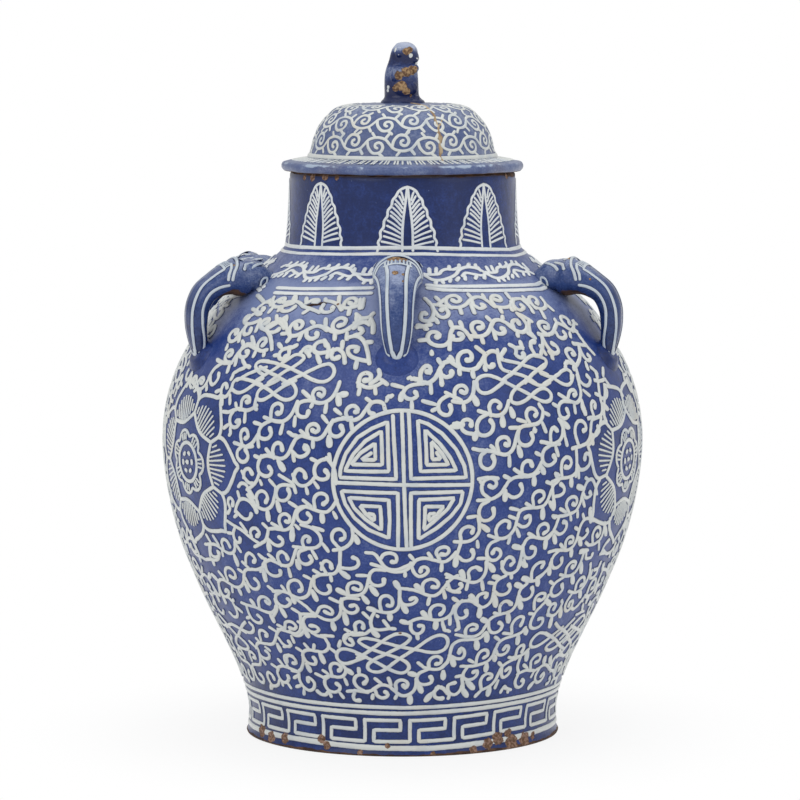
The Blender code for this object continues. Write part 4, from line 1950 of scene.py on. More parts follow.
@dataclass(frozen=True)
class KeyFret:
    """The squared meander round the foot.

    Attributes:
        skin: the wall's solid face.
        units: how many repeats go round.
        first: bearing of one upright.
        levels: heights of its bottom, middle and top run at the front.
        rise: (bearing, millimetres) by which it is set higher elsewhere.
        unit: (share of a repeat, level) corners of one repeat.
        half: the line's half width.
    """

    skin: Skin
    units: int = 22
    first: float = 2.65
    levels: tuple[float, float, float] = (9.9, 17.6, 24.3)
    rise: Line = (
        (-120.0, 1.0), (-60.0, 1.6), (-40.0, 1.1), (-15.0, 0.0), (5.0, 0.0), (20.0, 1.0),
        (42.0, 3.2), (64.0, 3.4), (130.0, 1.2),
    )
    unit: tuple[tuple[float, int], ...] = (
        (0.0, 2), (0.79, 2), (0.79, 1), (0.2, 1), (0.2, 0), (1.0, 0), (1.0, 2),
    )
    half: float = 1.4

    def lines(self) -> list[Trace]:
        """The repeats, each a line with square corners.

        Returns:
            The lines.
        """
        width = 360.0 / self.units
        stops = np.array(self.rise)
        made = []
        for k in range(self.units):
            start = self.first + k * width
            spots = [(start + share * width, self.levels[level]) for share, level in self.unit]
            line = straight(tuple(spots), self.half, self.skin)
            lift = np.interp(line.bearing, stops[:, 0], stops[:, 1], period=360.0)
            made.append(Trace(line.bearing, line.height + lift, line.half))
        return made


# The drawings of the belly, as seen from outside

SHEETS = (
    Sheet(-64, -37, 250, 313, """
    c 500,225 440,275 402,320 400,365 440,392 485,382 500,350 478,340 b 420,392 470,412 498,405 b
    400,368 348,355 b 425,278 330,235 232,208 s 440,270 500,262 545,300 c 540,300 558,258 592,212
    640,202 668,232 650,262 608,252 b 505,240 495,215 s 500,225 550,300 600,320 660,315 720,292
    780,262 b 585,318 577,370 b 665,318 672,350 b 765,255 742,192 c 530,452 470,490 400,502 345,492
    318,450 345,412 395,428 378,462 345,455 b 385,425 405,405 c 400,500 395,545 415,592 450,602
    490,578 480,545 b 535,470 545,552 c 655,535 590,532 552,490 572,438 622,425 645,455 612,478 s
    530,452 560,500 610,535 650,535 700,500 740,452 792,402 b 715,445 690,405 s 655,535 700,560
    742,610 762,660 785,702 c 385,630 340,670 285,670 245,630 252,580 300,550 340,562 338,602
    318,590 b 385,600 405,655 b 292,702 300,735 s 352,640 382,590 392,545 400,505 c 440,845 380,855
    335,825 322,770 355,732 395,742 402,775 382,785 s 440,845 330,860 255,835 b 425,855 430,922 c
    440,848 452,790 468,735 500,690 560,672 c 478,705 468,745 490,790 535,800 572,780 572,745
    552,738 b 490,690 450,655 s 520,675 600,688 650,720 700,732 740,712 b 600,678 537,612 c 645,715
    620,670 640,612 688,605 705,640 685,668 b 640,722 636,772 b 722,728 735,772 s 535,800 560,835
    590,868 638,868 b 470,795 485,858 s 500,978 495,925 540,902 590,878 s 330,862 272,890 248,935
    240,984 k 792,806 735,798 695,815 680,848 700,882 745,900 792,925 k 792,859 740,870 690,905
    640,935 600,945 565,984
    """, 1.22),
    Sheet(-39, -12, 250, 313, """
    c 80,250 20,262 -12,300 0,345 50,360 105,345 125,302 s -22,262 45,240 110,235 170,255 215,292 b
    95,235 62,187 b 225,255 187,187 c 225,255 262,208 325,200 348,232 305,242 s 215,292 280,305
    340,320 400,345 b 295,312 242,368 c 400,262 388,300 420,345 470,350 512,330 505,292 s 405,215
    460,222 520,232 562,262 592,312 b 415,225 388,187 b 548,248 525,168 c 600,290 590,235 615,185
    665,167 710,192 715,235 682,262 652,235 s 562,262 620,298 672,292 725,262 765,245 b 665,300
    668,355 b 768,185 770,285 b 120,440 100,398 s 44,430 100,440 145,480 175,550 215,582 280,572
    330,530 372,490 430,465 480,478 520,510 b 175,555 135,560 s -48,505 -15,462 44,450 95,465
    130,510 c 0,562 45,560 80,525 c 215,580 178,520 190,455 245,425 295,450 295,500 252,515 230,480
    b 225,575 205,622 b 312,560 300,618 b 362,436 388,452 c 345,520 350,572 390,600 430,597 455,568
    442,545 b 500,482 482,412 c 700,490 640,530 580,520 548,470 565,410 620,382 668,408 658,452
    614,465 b 592,530 600,585 s 500,482 560,525 640,532 700,490 732,450 765,418 800,392 b 752,430
    740,352 b 690,530 696,582 s 240,676 265,720 252,780 222,822 c 250,676 188,688 165,730 180,780
    218,788 236,758 b 172,682 140,655 b 258,682 298,655 b 168,748 140,752 s 400,700 430,742 c
    352,715 365,672 405,652 438,672 425,705 405,705 c 560,702 500,725 450,702 440,650 470,610
    522,603 545,640 s 520,605 565,640 578,700 572,745 b 490,735 522,792 s 590,692 640,662 685,695
    708,740 710,790 c 605,680 588,730 618,768 655,745 b 672,668 668,612 k 44,806 81,802 125,812
    169,824 212,824 250,837 288,849 325,862 369,878 406,896 450,918 494,943 538,962 581,962 619,943
    644,909 653,871 644,834 625,809 594,793 531,821 488,849 438,884 406,902 369,931 325,953 294,971
    275,984 k 50,971 112,921 162,877 206,840 237,815 269,765 300,734 338,724 375,731 400,753 403,765
    369,809 312,846 262,890 219,921 188,952 156,984 k 44,859 81,878 119,896 162,906 206,921 250,940
    288,965 320,984
    """, 1.22),
    Sheet(-14, 14, 250, 313, """
    b 44,190 60,290 s 44,350 80,395 130,395 170,382 185,342 b 85,395 100,395 b 175,395 205,450
    200,520 s 170,410 165,450 s 44,440 60,450 c 44,485 70,440 120,420 165,440 s 10,570 60,545
    110,560 150,610 172,660 178,720 195,790 c 60,550 105,545 125,510 100,490 b 150,608 210,605 c
    172,770 110,760 50,740 20,700 20,655 62,640 105,655 90,685 b 105,765 98,845 c 135,984 125,930
    140,880 185,862 222,885 215,930 175,935 s 215,960 265,930 285,880 272,848 b 285,925 325,962 b
    470,905 480,895 510,930 555,930 s 540,935 560,960 c 560,950 545,900 560,840 600,800 635,822
    620,870 605,862 s 560,950 610,965 650,930 680,880 700,820 720,780 770,770 b 700,790 690,760 c
    700,960 700,900 690,860 c 690,880 730,920 770,900 775,870 b 645,690 645,710 s 560,590 610,585 c
    820,560 760,640 690,645 625,610 615,555 650,510 705,515 722,550 698,560 b 605,480 620,488 c
    655,450 605,470 560,460 b 560,465 545,472 b 612,470 612,488 c 700,400 640,425 580,410 575,360
    610,325 622,345 b 700,395 715,430 s 640,425 690,380 700,310 700,260 650,195 b 650,190 640,180 b
    770,210 745,170 c 700,300 720,370 770,395 820,370 830,320 800,285 765,310 s 700,250 760,245
    820,275
    """, 1.22),
    Sheet(12, 39, 250, 313, """
    s 20,250 70,215 100,190 c 140,285 95,240 110,175 165,145 225,145 258,190 235,225 190,225 175,205
    s 44,265 100,270 160,290 225,285 280,262 325,220 365,180 430,165 480,180 520,235 545,290 b
    215,295 213,345 b 330,260 330,345 b 365,185 350,140 b 495,185 492,140 c 355,270 385,310 430,305
    462,275 440,262 s 355,200 350,270 c 560,290 540,230 560,180 610,155 665,170 672,215 640,235
    595,210 s 545,285 600,300 660,310 700,300 750,270 790,225 b 590,300 590,350 b 710,290 705,350 b
    770,215 765,150 s 60,670 70,600 85,520 110,475 170,475 215,510 240,590 b 105,480 100,430 b
    190,480 180,420 c 75,580 120,600 170,590 185,550 160,540 c 290,560 258,510 270,450 320,425
    375,440 372,485 330,492 s 240,560 290,575 350,565 400,540 430,490 470,425 540,415 590,460
    625,490 b 330,580 332,620 b 445,520 445,590 b 455,435 430,395 b 565,420 575,395 c 430,500
    440,530 490,560 545,545 550,510 530,505 c 640,520 630,460 665,425 710,435 705,465 s 590,460
    640,530 700,555 760,530 785,480 770,420 740,380 b 655,545 645,590 b 745,400 740,375 c 120,840
    100,790 110,730 150,690 205,685 230,730 210,770 180,770 s 44,760 90,820 140,850 200,860 255,840
    280,790 320,730 375,690 425,700 445,760 b 75,770 60,740 b 110,840 110,900 b 205,860 205,910 b
    330,725 270,660 b 440,750 495,690 c 320,730 300,780 310,830 345,840 365,820 b 300,830 303,855 s
    550,650 590,690 650,680 c 590,690 565,740 600,775 635,765 640,740 b 650,690 650,635 c 740,740
    720,690 740,640 775,635 k 433,690 424,765 414,821 421,856 455,881 499,890 536,893 580,915
    618,940 655,965 674,984 k 430,775 449,778 492,781 536,802 580,821 618,828 661,852 699,874
    730,884 768,909 792,924 k 411,952 455,928 492,896 536,871 580,840 618,809 661,771 699,749
    742,746 792,759 k 205,984 225,925 280,897 335,898 368,921 405,946 442,971 k 586,978 624,940
    668,909 705,884 755,859 792,840
    """, 1.22),
    Sheet(37, 64, 250, 313, """
    s 44,330 60,260 100,205 160,225 220,215 260,240 c 60,250 55,320 90,350 130,340 160,310 150,295 s
    200,225 225,270 240,330 225,370 b 240,200 245,270 s 270,240 265,300 310,340 380,350 430,330
    470,290 470,230 c 285,330 270,270 300,210 350,195 395,220 385,265 345,285 b 330,350 320,430 b
    455,290 485,365 s 44,370 90,400 130,425 150,450 s 130,440 105,490 75,545 110,600 s 60,560
    100,595 b 180,575 165,570 c 260,585 205,545 195,490 230,460 290,460 325,495 300,530 265,520 s
    165,575 230,585 300,585 350,560 390,510 430,480 480,500 520,545 570,575 630,580 b 430,485
    430,460 c 355,570 350,610 390,635 440,630 465,600 455,580 c 530,540 500,490 510,440 555,425
    605,450 610,490 595,505 s 570,575 620,555 650,515 675,490 b 660,490 690,515 s 620,570 645,620
    640,680 680,740 705,795 b 525,590 510,620 s 500,680 560,700 620,700 655,710 b 510,690 500,680 s
    560,700 530,760 490,830 430,860 380,890 c 560,700 540,770 560,840 610,850 635,820 620,800 c
    400,850 360,800 360,740 405,715 455,730 460,780 430,775 s 340,830 300,840 290,880 s 330,830
    380,850 b 540,860 535,910 s 400,890 390,984 b 380,880 375,900 s 185,595 165,650 150,700 110,740
    c 185,600 200,720 250,760 300,740 300,690 262,665 s 250,750 200,770 185,740 b 205,760 200,805 s
    130,680 150,750 s 580,905 640,950 620,984 s 740,930 700,984 k 44,759 84,765 122,778 138,796
    138,821 116,846 78,871 44,884 k 44,909 84,934 122,953 159,959 191,934 228,909 266,890 297,884
    322,896 341,921 331,953 309,984
    """, 1.22),
    Sheet(-64, -37, 190, 252, """
    c 150,130 118,85 150,40 200,32 228,60 210,90 180,80 s 44,60 95,112 160,142 225,138 270,100
    290,55 292,-5 b 140,140 105,165 b 222,150 225,195 b 285,90 312,145 c 300,20 320,70 370,95 415,70
    430,25 410,-5 c 530,165 505,115 515,65 550,55 578,90 b 505,118 455,135 s 520,160 570,180 610,165
    630,130 635,90 b 560,185 572,245 b 640,150 660,215 k 640,110 625,55 660,10 740,8 850,20 957,45 k
    640,100 690,128 760,128 820,95 870,50 930,10 957,-5 c 795,240 780,190 800,150 840,138 878,160
    880,195 848,190 s 600,285 660,295 720,265 760,240 820,262 870,265 925,240 957,215 b 745,240
    722,200 b 850,270 856,345 c 720,270 685,310 690,370 725,405 775,405 812,370 808,335 775,350 b
    690,380 640,410 b 712,405 728,445 708,475 c 850,520 822,465 830,415 875,395 910,425 910,465
    885,475 s 770,520 830,522 890,552 957,530 c 850,540 800,570 795,630 840,670 895,662 925,615
    890,568 c 862,784 860,740 885,710 925,705 950,745
    """, 1.08),
    Sheet(-39, -12, 190, 252, """
    k 44,38 130,55 200,82 260,108 310,142 370,160 430,152 468,120 472,75 445,35 385,-5 k 275,-5
    190,45 120,65 85,108 90,160 130,178 190,160 250,112 310,62 375,22 440,-5 s 90,165 88,200 88,230
    b 88,232 128,248 c 270,318 255,260 262,205 315,175 362,195 370,235 350,265 325,262 b 250,312
    190,298 s 250,312 310,325 370,335 420,310 455,270 475,230 490,165 c 620,150 545,148 500,170
    487,225 505,275 550,292 590,280 597,240 b 487,285 487,350 b 385,345 370,415 c 270,325 190,355
    158,410 165,460 215,478 270,465 292,425 270,388 b 180,360 115,348 s 155,440 125,500 85,532
    44,545 b 160,470 175,545 c 318,610 297,560 312,505 350,482 385,495 392,540 s 180,620 235,590
    300,595 360,622 410,615 450,580 475,520 490,465 525,430 560,418 610,435 670,458 720,445 760,400
    775,340 800,300 850,288 957,275 b 300,598 248,550 b 180,620 140,608 c 200,605 165,650 158,700
    170,740 230,768 285,755 302,715 275,688 B 360,635 400,692 b 485,560 500,635 c 478,550 515,592
    560,598 612,572 630,530 605,495 578,500 590,525 c 612,432 588,385 610,338 655,322 700,345
    705,382 675,400 648,382 b 600,430 545,390 b 520,432 475,435 440,408 b 655,460 655,508 c 640,155
    606,108 625,55 680,40 722,62 725,95 700,120 672,98 s 600,145 650,170 700,172 755,155 800,110
    825,60 835,-5 b 600,130 528,80 b 628,170 610,210 b 745,170 738,250 B 835,100 848,165 B 850,95
    912,88 b 870,248 822,215 b 765,315 712,258 c 810,300 778,345 785,405 830,432 880,420 905,385
    880,345 B 785,430 790,485 c 790,595 725,600 675,640 660,700 675,750 730,770 780,755 788,720
    762,692 b 690,620 632,598 s 770,592 815,630 840,690 842,784 b 800,610 787,548 c 490,784 488,735
    512,690 550,678 588,705 592,745
    """, 1.08),
    Sheet(-14, 14, 190, 252, """
    c 85,290 55,240 75,190 120,170 160,190 165,225 145,228 s 44,275 85,295 130,302 180,280 215,240
    225,195 265,148 340,138 375,160 380,215 c 265,150 232,195 250,235 285,243 b 265,148 215,115 b
    385,140 390,100 432,95 b 110,305 122,362 s 145,-5 200,35 260,40 320,10 350,-10 b 165,40 158,88 b
    290,30 298,80 c 690,2 600,5 535,35 512,80 545,125 600,132 640,100 622,72 b 520,30 435,8 B 512,80
    500,138 b 590,145 592,195 b 750,5 750,75 b 835,-10 842,12 s 870,75 920,100 990,140 c 900,95
    830,120 795,170 800,225 840,258 890,258 912,220 900,180 b 780,168 682,140 b 790,200 755,215 B
    900,345 985,330
    """, 1.08),
    Sheet(12, 39, 190, 252, """
    c 60,120 55,60 95,18 150,15 180,55 155,90 122,70 s 44,145 100,162 150,162 200,130 228,80 238,-5
    b 130,170 130,230 B 225,115 240,165 k 262,-5 250,45 285,90 340,95 400,70 470,20 520,-5 k 500,-5
    560,30 620,60 690,95 750,130 810,170 870,190 930,175 952,130 930,90 880,65 820,78 760,112
    700,150 640,180 575,188 535,165 545,110 590,65 650,35 710,5 k 720,-5 780,20 850,60 910,50 957,30
    c 350,265 332,205 358,155 400,140 440,160 448,190 428,205 s 300,240 360,268 430,275 480,245
    505,200 520,160 b 310,248 238,222 B 447,285 447,340 B 530,220 542,272 c 325,255 255,275 222,330
    220,395 255,425 320,420 362,385 370,340 345,308 c 215,405 150,405 100,375 92,330 115,290 160,282
    188,305 180,335 B 215,400 205,435 B 44,325 80,330 c 400,550 375,495 390,450 440,428 485,440
    500,480 485,508 460,495 s 190,518 240,540 310,530 370,548 430,580 480,578 525,540 548,480
    560,410 595,362 650,350 720,360 780,348 820,300 835,240 800,200 b 370,535 325,492 b 488,590
    490,660 B 570,520 587,582 c 300,535 250,560 235,615 255,668 310,690 355,668 370,625 350,585 c
    590,370 562,430 575,495 625,520 680,510 712,468 695,425 c 690,345 655,300 665,240 710,215
    760,232 770,270 745,285 b 650,330 582,308 b 580,370 505,368 B 725,388 726,398 b 805,345 830,412
    b 835,265 890,292 c 875,510 865,450 880,400 915,382 940,410 s 780,492 850,502 910,525 957,520 b
    770,595 715,568 c 870,525 810,540 780,590 788,655 830,688 885,680 925,645 900,610 b 920,540
    942,605 c 605,750 590,700 605,645 645,622 680,635 690,668 s 535,692 590,735 650,757 710,745
    760,700 780,650 B 780,690 810,742 s 235,755 300,750 350,740 390,755 b 500,765 450,742 b 957,765
    920,750
    """, 1.08),
    Sheet(37, 64, 190, 252, """
    k 44,42 120,10 170,-5 k 165,-5 215,35 270,65 330,68 380,35 405,-5 c 265,175 290,120 335,98
    380,108 382,145 350,150 s 180,132 235,165 300,200 350,222 405,200 440,150 455,90 440,40 455,-5 B
    425,200 415,250 438,298 b 480,120 540,165 b 325,230 322,285 c 455,25 490,75 545,95 600,78 625,38
    595,8 c 290,200 215,180 155,205 132,260 145,315 200,335 250,305 232,258 b 140,230 98,205 B
    150,345 225,400 s 130,330 170,390 170,460 b 175,470 195,545 s 160,400 155,460 115,505 44,520 c
    320,540 285,470 288,400 330,352 390,352 430,390 425,430 388,435 s 250,565 320,550 400,552
    450,520 480,460 480,400 510,350 560,345 620,352 660,330 690,270 690,210 680,170 700,120 735,60
    735,-5 c 470,470 510,495 560,485 600,450 575,420 B 470,480 490,535 c 545,340 520,280 535,225
    575,205 600,235 580,262 b 520,340 465,345 b 640,355 612,405 b 680,325 712,395 B 700,250 765,295
    b 690,180 635,160 c 690,200 750,215 805,195 830,150 808,120 b 740,60 665,50 s 740,62 800,70
    850,55 b 850,55 890,105 c 145,784 125,710 135,650 185,618 235,640 245,690 215,718 175,705 c
    300,690 330,745 400,745 455,715 468,650 440,612 395,615 392,655 s 290,570 300,640 300,700
    295,784 b 110,765 70,748
    """, 1.08),
    Sheet(-64, -37, 130, 192, """
    c 665,310 640,270 655,225 695,215 715,245 700,278 s 720,330 745,280 775,225 840,212 900,235
    935,290 c 735,330 770,370 820,395 865,385 890,340 b 785,220 775,170 b 665,320 630,352 b 745,345
    705,375 s 785,118 805,90 850,85 885,105 900,160 940,200 s 835,0 850,50 900,95 940,90 s 610,420
    680,458 745,465 800,505 850,545 925,575 b 815,490 762,425 c 690,462 650,500 645,565 675,600
    715,590 722,555 b 640,520 590,520 b 660,610 695,665 c 860,540 842,490 870,452 925,445 955,490
    920,515 c 480,670 462,615 500,575 555,585 572,635 s 205,658 280,650 350,635 420,650 480,690
    550,705 610,690 645,640 650,590 b 310,635 265,575 b 425,640 372,572 b 450,680 442,740 c 290,660
    255,700 262,755 330,760 380,745 382,705 s 230,760 240,700 270,660 c 725,765 735,705 790,662
    845,690 850,725 825,742 b 900,675 925,700
    """),
    Sheet(-39, -12, 130, 192, """
    s 44,140 80,120 125,95 160,55 172,10 b 180,60 195,100 s 360,5 420,35 470,60 b 480,70 498,148 s
    478,-5 490,50 530,85 590,80 640,40 665,0 b 585,90 597,150 b 655,45 683,85 c 470,85 400,70 340,90
    312,150 330,205 390,215 432,190 450,150 432,115 b 320,100 270,50 s 44,185 75,225 115,265 165,295
    220,295 270,265 300,215 308,150 322,105 B 325,220 338,285 c 140,255 118,200 145,150 195,132
    238,155 245,195 220,225 B 225,300 225,365 B 110,280 118,325 s 50,140 75,190 105,240 c 345,440
    315,380 335,325 385,303 430,325 432,360 415,380 392,375 b 215,450 155,400 b 330,435 255,400 s
    215,450 280,430 340,455 400,445 450,400 462,340 478,280 520,245 570,235 620,255 690,285 755,285
    800,235 830,180 b 500,255 435,218 B 440,430 425,515 b 470,400 495,425 c 580,240 515,262 482,310
    492,362 545,388 598,372 618,330 588,300 c 650,250 635,190 660,140 710,122 755,140 765,185
    722,215 b 620,240 545,185 B 705,290 705,368 b 800,280 825,335 c 525,590 505,540 520,495 560,475
    590,500 572,525 s 430,580 500,585 570,590 640,580 685,540 680,470 640,425 580,400 520,395 b
    620,408 700,430 b 690,540 730,600 b 590,600 622,665 c 540,595 480,605 452,650 460,705 505,735
    560,722 588,690 568,655 c 830,570 770,520 768,460 800,415 850,408 888,440 885,485 850,500 s
    780,592 850,580 905,560 935,510 s 835,590 822,680 818,760 c 655,760 660,710 700,675 745,695
    745,740 s 44,610 90,580 150,570 190,530 208,460 B 195,560 190,618 c 195,530 230,575 290,592
    335,570 342,530 310,512 b 130,715 75,680 b 225,705 160,658 s 90,760 130,722 185,702 240,735
    300,758 370,750 405,710 420,640 455,595 c 280,750 250,700 265,645 315,622 350,650 355,685 B
    440,700 450,755
    """),
    Sheet(-14, 14, 130, 192, """
    s 110,395 122,450 112,510 80,550 20,580 B 135,470 155,530 s 215,605 270,598 310,630 330,690
    370,740 440,755 510,740 550,705 590,690 c 325,660 345,615 400,597 455,612 472,650 455,685
    425,680 b 325,722 255,700 c 0,740 60,752 125,742 158,700 145,660 108,650 b 600,665 568,625 s
    590,690 610,660 670,645 740,652 800,685 860,690 905,660 940,605 c 810,660 770,610 785,570
    840,548 885,565 890,605 865,628 825,620 b 745,645 708,598 b 830,690 830,755 B 945,640 945,710
    """),
    Sheet(12, 39, 130, 192, """
    c 330,175 265,140 248,80 270,25 330,5 378,30 385,75 350,95 322,75 s 230,185 290,192 350,178
    410,155 450,100 465,45 510,20 570,5 640,25 700,10 740,-10 b 265,60 235,25 B 455,120 455,200 c
    470,150 500,178 540,185 592,162 610,120 585,78 B 700,20 705,75 c 320,195 262,212 238,265 245,325
    275,358 335,355 378,318 362,260 b 225,312 160,320 s 240,320 255,390 268,430 230,495 180,522
    120,525 60,515 B 275,390 338,438 c 115,515 92,455 115,405 170,385 212,405 200,442 s 112,528
    95,600 80,650 c 95,640 130,682 185,688 228,665 232,625 212,595 b 248,520 260,580 c 420,505
    388,445 410,385 465,350 515,370 510,415 s 340,475 400,500 470,515 530,490 560,440 580,380
    575,310 600,275 670,265 740,275 810,272 850,230 868,150 890,90 940,70 b 580,280 510,262 b
    565,350 492,322 b 700,262 632,225 b 530,500 518,560 b 580,435 612,495 c 580,395 620,428 680,422
    708,380 690,325 652,345 c 715,250 690,195 710,145 760,128 808,150 815,195 770,222 B 805,285
    815,352 B 870,240 908,278 b 940,370 905,345 b 880,95 810,65 c 430,515 365,530 332,590 340,655
    385,695 440,690 475,645 455,595 405,585 392,622 b 340,668 270,665 s 345,660 355,720 c 805,525
    772,470 790,420 845,400 890,425 895,470 850,490 b 760,512 700,482 s 660,590 670,540 710,505
    770,510 830,540 890,535 935,490 B 880,540 888,608 c 660,580 665,640 700,690 755,700 800,665
    795,610 748,600 B 650,600 578,580 s 660,600 665,690 650,760 c 495,760 500,700 540,658 590,675
    605,715 578,735 b 690,700 712,740
    """),
    Sheet(37, 64, 130, 192, """
    c 80,195 130,200 180,175 182,130 135,100 s 44,75 100,50 170,52 240,55 290,30 305,-5 B 240,60
    248,112 b 318,10 325,60 b 95,45 70,10 s 50,110 60,180 75,230 B 75,220 82,285 c 260,340 208,285
    215,230 275,203 328,220 342,260 320,290 290,272 s 85,350 140,372 210,352 290,355 350,330 375,270
    390,210 395,150 430,95 480,78 520,105 545,160 575,215 b 215,330 155,300 b 280,370 292,400 b
    355,335 368,395 B 395,160 328,135 b 450,95 395,65 b 395,240 430,300 c 392,190 415,235 465,245
    505,215 478,195 s 150,375 130,440 115,500 75,540 44,560 c 125,480 175,520 230,510 262,460
    250,420 212,412 B 130,520 155,572 c 290,645 268,595 285,550 335,535 372,560 365,600 330,595 s
    110,655 170,650 230,640 300,668 370,650 410,600 415,540 410,480 440,420 490,400 540,415 600,430
    b 265,635 222,600 b 405,495 348,468 b 455,410 428,370 B 530,400 515,338 b 530,420 558,455 c
    420,560 470,590 520,570 548,530 522,508 B 440,580 475,620 B 370,660 385,705 c 650,625 612,570
    630,510 685,490 735,520 745,570 712,595 690,565 s 545,615 600,655 680,640 750,635 790,590
    790,520 775,475 B 800,510 848,575 s 760,640 790,700 B 600,690 488,690 c 590,700 600,760 640,775
    700,760 700,735 c 860,740 870,680 940,645 s 860,470 890,540 940,590 c 230,650 170,680 150,740
    160,780
    """),
    Sheet(-64, -37, 82, 134, """
    c 355,240 345,180 380,125 440,112 490,145 492,195 455,218 415,200 B 185,262 130,227 s 44,460
    110,420 160,350 170,300 210,255 270,240 330,250 380,285 450,300 520,280 560,240 590,180 600,130
    650,100 720,110 790,95 845,60 b 315,235 265,180 B 465,300 475,358 b 385,290 365,340 B 575,240
    588,318 b 590,145 535,115 b 670,95 620,50 B 820,100 812,183 c 600,190 605,250 640,290 690,290
    735,255 735,215 705,190 c 650,455 655,390 700,345 755,338 800,370 795,405 765,412 752,390 s
    440,435 500,455 570,445 640,465 700,490 770,495 830,460 845,420 B 755,500 768,578 B 600,445
    580,402 c 490,460 475,530 500,590 560,615 615,600 635,560 600,535 b 480,560 435,575 c 180,290
    160,350 170,400 220,420 280,390 320,350 295,325 260,350 B 165,400 168,458 s 250,400 300,450
    330,430 s 300,460 320,530 280,590 200,600 170,560 b 330,490 385,525 s 44,115 110,95 170,70
    230,80 300,75 350,40 365,0 B 100,100 90,158 B 225,80 228,122 B 545,0 552,72 b 845,615 800,600
    """),
    Sheet(-39, -12, 82, 134, """
    c 110,30 95,90 130,140 195,148 235,125 235,92 s 44,112 75,70 105,30 125,0 b 315,60 318,128 c
    285,310 262,250 280,190 330,155 385,162 408,205 400,245 372,258 s 120,285 200,270 265,280
    310,322 375,330 440,300 470,250 478,185 510,130 560,95 620,92 680,95 720,60 735,0 b 135,288
    82,245 b 240,268 208,215 b 490,142 440,118 b 575,95 527,65 b 655,100 657,160 B 735,60 788,108 c
    520,120 498,190 520,250 575,280 625,265 642,235 630,198 B 485,250 503,322 s 592,0 600,50 625,90
    c 490,445 510,395 565,375 615,392 638,430 618,465 580,450 562,435 s 320,335 370,360 395,400
    440,440 480,480 540,508 610,520 665,490 705,430 705,370 700,320 745,295 800,290 855,305 B
    290,320 298,360 c 190,285 130,305 112,355 135,405 190,425 250,400 265,365 245,345 s 110,360
    125,420 90,470 44,515 B 145,430 168,498 b 335,470 265,430 s 325,475 400,462 470,470 c 460,485
    375,482 330,530 335,595 385,638 445,640 480,605 455,572 402,575 B 610,530 612,588 b 690,340
    625,308 B 765,265 702,230 c 780,270 765,210 790,160 840,145 890,165 895,210 870,230 828,210 c
    720,310 705,370 730,420 780,445 830,430 852,395 830,355 790,368 B 725,440 732,528 b 770,625
    715,592 s 690,690 720,640 780,622 860,622 c 125,625 140,565 195,543 245,560 262,600 225,630
    185,615 s 44,640 120,640 180,665 240,672 290,630 310,570 315,510 325,475 b 310,560 288,548 B
    320,560 345,672 b 480,660 588,662
    """),
    Sheet(-14, 14, 82, 134, """
    b 195,92 120,92 c 330,45 250,30 210,70 200,130 225,175 280,190 320,170 320,125 s 30,275 100,282
    165,250 192,190 202,130 B 215,190 255,252 B 150,280 180,328 s 290,10 340,45 400,60 460,60 510,30
    535,-10 b 478,60 478,88 c 520,-20 530,50 575,105 630,90 658,45 630,5 595,15 592,50 B 430,200
    407,152 s 430,200 480,215 540,205 590,235 650,270 710,280 760,240 780,190 800,150 830,110 870,95
    B 595,215 564,178 b 835,108 785,82 c 440,210 430,290 450,345 510,360 565,335 578,300 555,280
    525,298 c 615,240 600,185 620,135 675,112 725,135 742,175 722,200 690,192 b 670,275 660,345 b
    775,230 795,305 s 800,150 810,215 850,250 900,245 c 290,410 272,340 285,280 335,258 380,285
    390,335 372,365 345,358 B 240,405 192,388 s 240,405 300,425 360,430 410,410 440,350 435,290 B
    455,340 485,408 b 185,480 142,430 s 230,425 200,465 190,530 200,580 280,590 350,570 b 340,570
    392,574 b 345,560 305,500 B 355,430 358,493 b 252,450 256,458 B 200,590 243,638 s 30,640 100,640
    160,625 192,585 c 60,600 48,550 75,512 115,503 138,530 128,568 c 690,480 668,420 690,365 745,345
    795,365 800,405 768,440 B 500,520 442,500 s 500,520 550,490 610,465 660,480 710,500 770,500
    830,480 870,430 874,370 B 655,465 622,423 B 735,500 735,578 b 790,510 810,600 855,605 b 874,320
    858,298 c 530,505 518,570 550,622 600,630 640,590 635,545 600,545 b 580,630 590,665
    """),
    Sheet(12, 39, 82, 134, """
    c 30,215 60,240 100,245 140,215 148,190 130,172 s 20,110 90,105 150,130 190,162 240,172 290,150
    320,100 325,40 310,-10 B 150,115 127,65 b 187,165 183,220 b 300,160 318,228 B 340,10 385,72 c
    195,130 172,80 190,35 235,20 270,50 s 440,-5 445,60 490,105 545,112 590,80 605,20 600,-10 b
    535,110 545,140 B 610,15 648,43 B 440,135 394,122 b 415,185 362,172 s 215,320 265,335 300,385
    345,405 395,375 425,310 410,240 405,180 440,135 490,120 c 415,250 450,290 505,300 550,280
    562,240 535,203 B 430,300 455,380 c 290,360 270,310 290,270 335,255 365,268 355,298 B 320,400
    328,470 B 265,330 228,285 b 135,335 90,300 s 120,350 150,325 205,320 255,335 c 160,325 112,375
    105,430 135,485 185,495 225,465 205,420 b 75,460 82,535 s 125,470 160,530 165,580 b 165,580
    145,595 c 240,665 218,610 235,560 285,538 332,560 330,600 285,600 s 150,640 220,655 290,675
    360,655 400,610 408,550 430,500 490,470 560,468 620,455 650,410 655,350 640,280 655,235 700,210
    B 410,535 364,507 b 505,470 445,450 c 425,540 432,600 470,645 525,650 568,620 572,575 530,550 c
    510,460 488,410 505,360 550,342 595,382 B 590,470 615,540 B 665,360 703,420 c 650,310 680,355
    735,362 780,340 792,295 762,250 B 665,235 604,207 c 740,180 712,115 725,55 775,18 828,30 808,68
    B 720,180 657,156 s 690,185 750,195 800,190 840,130 c 690,660 655,600 670,535 725,500 775,522
    760,590 b 680,670 600,655 b 845,500 815,490
    """),
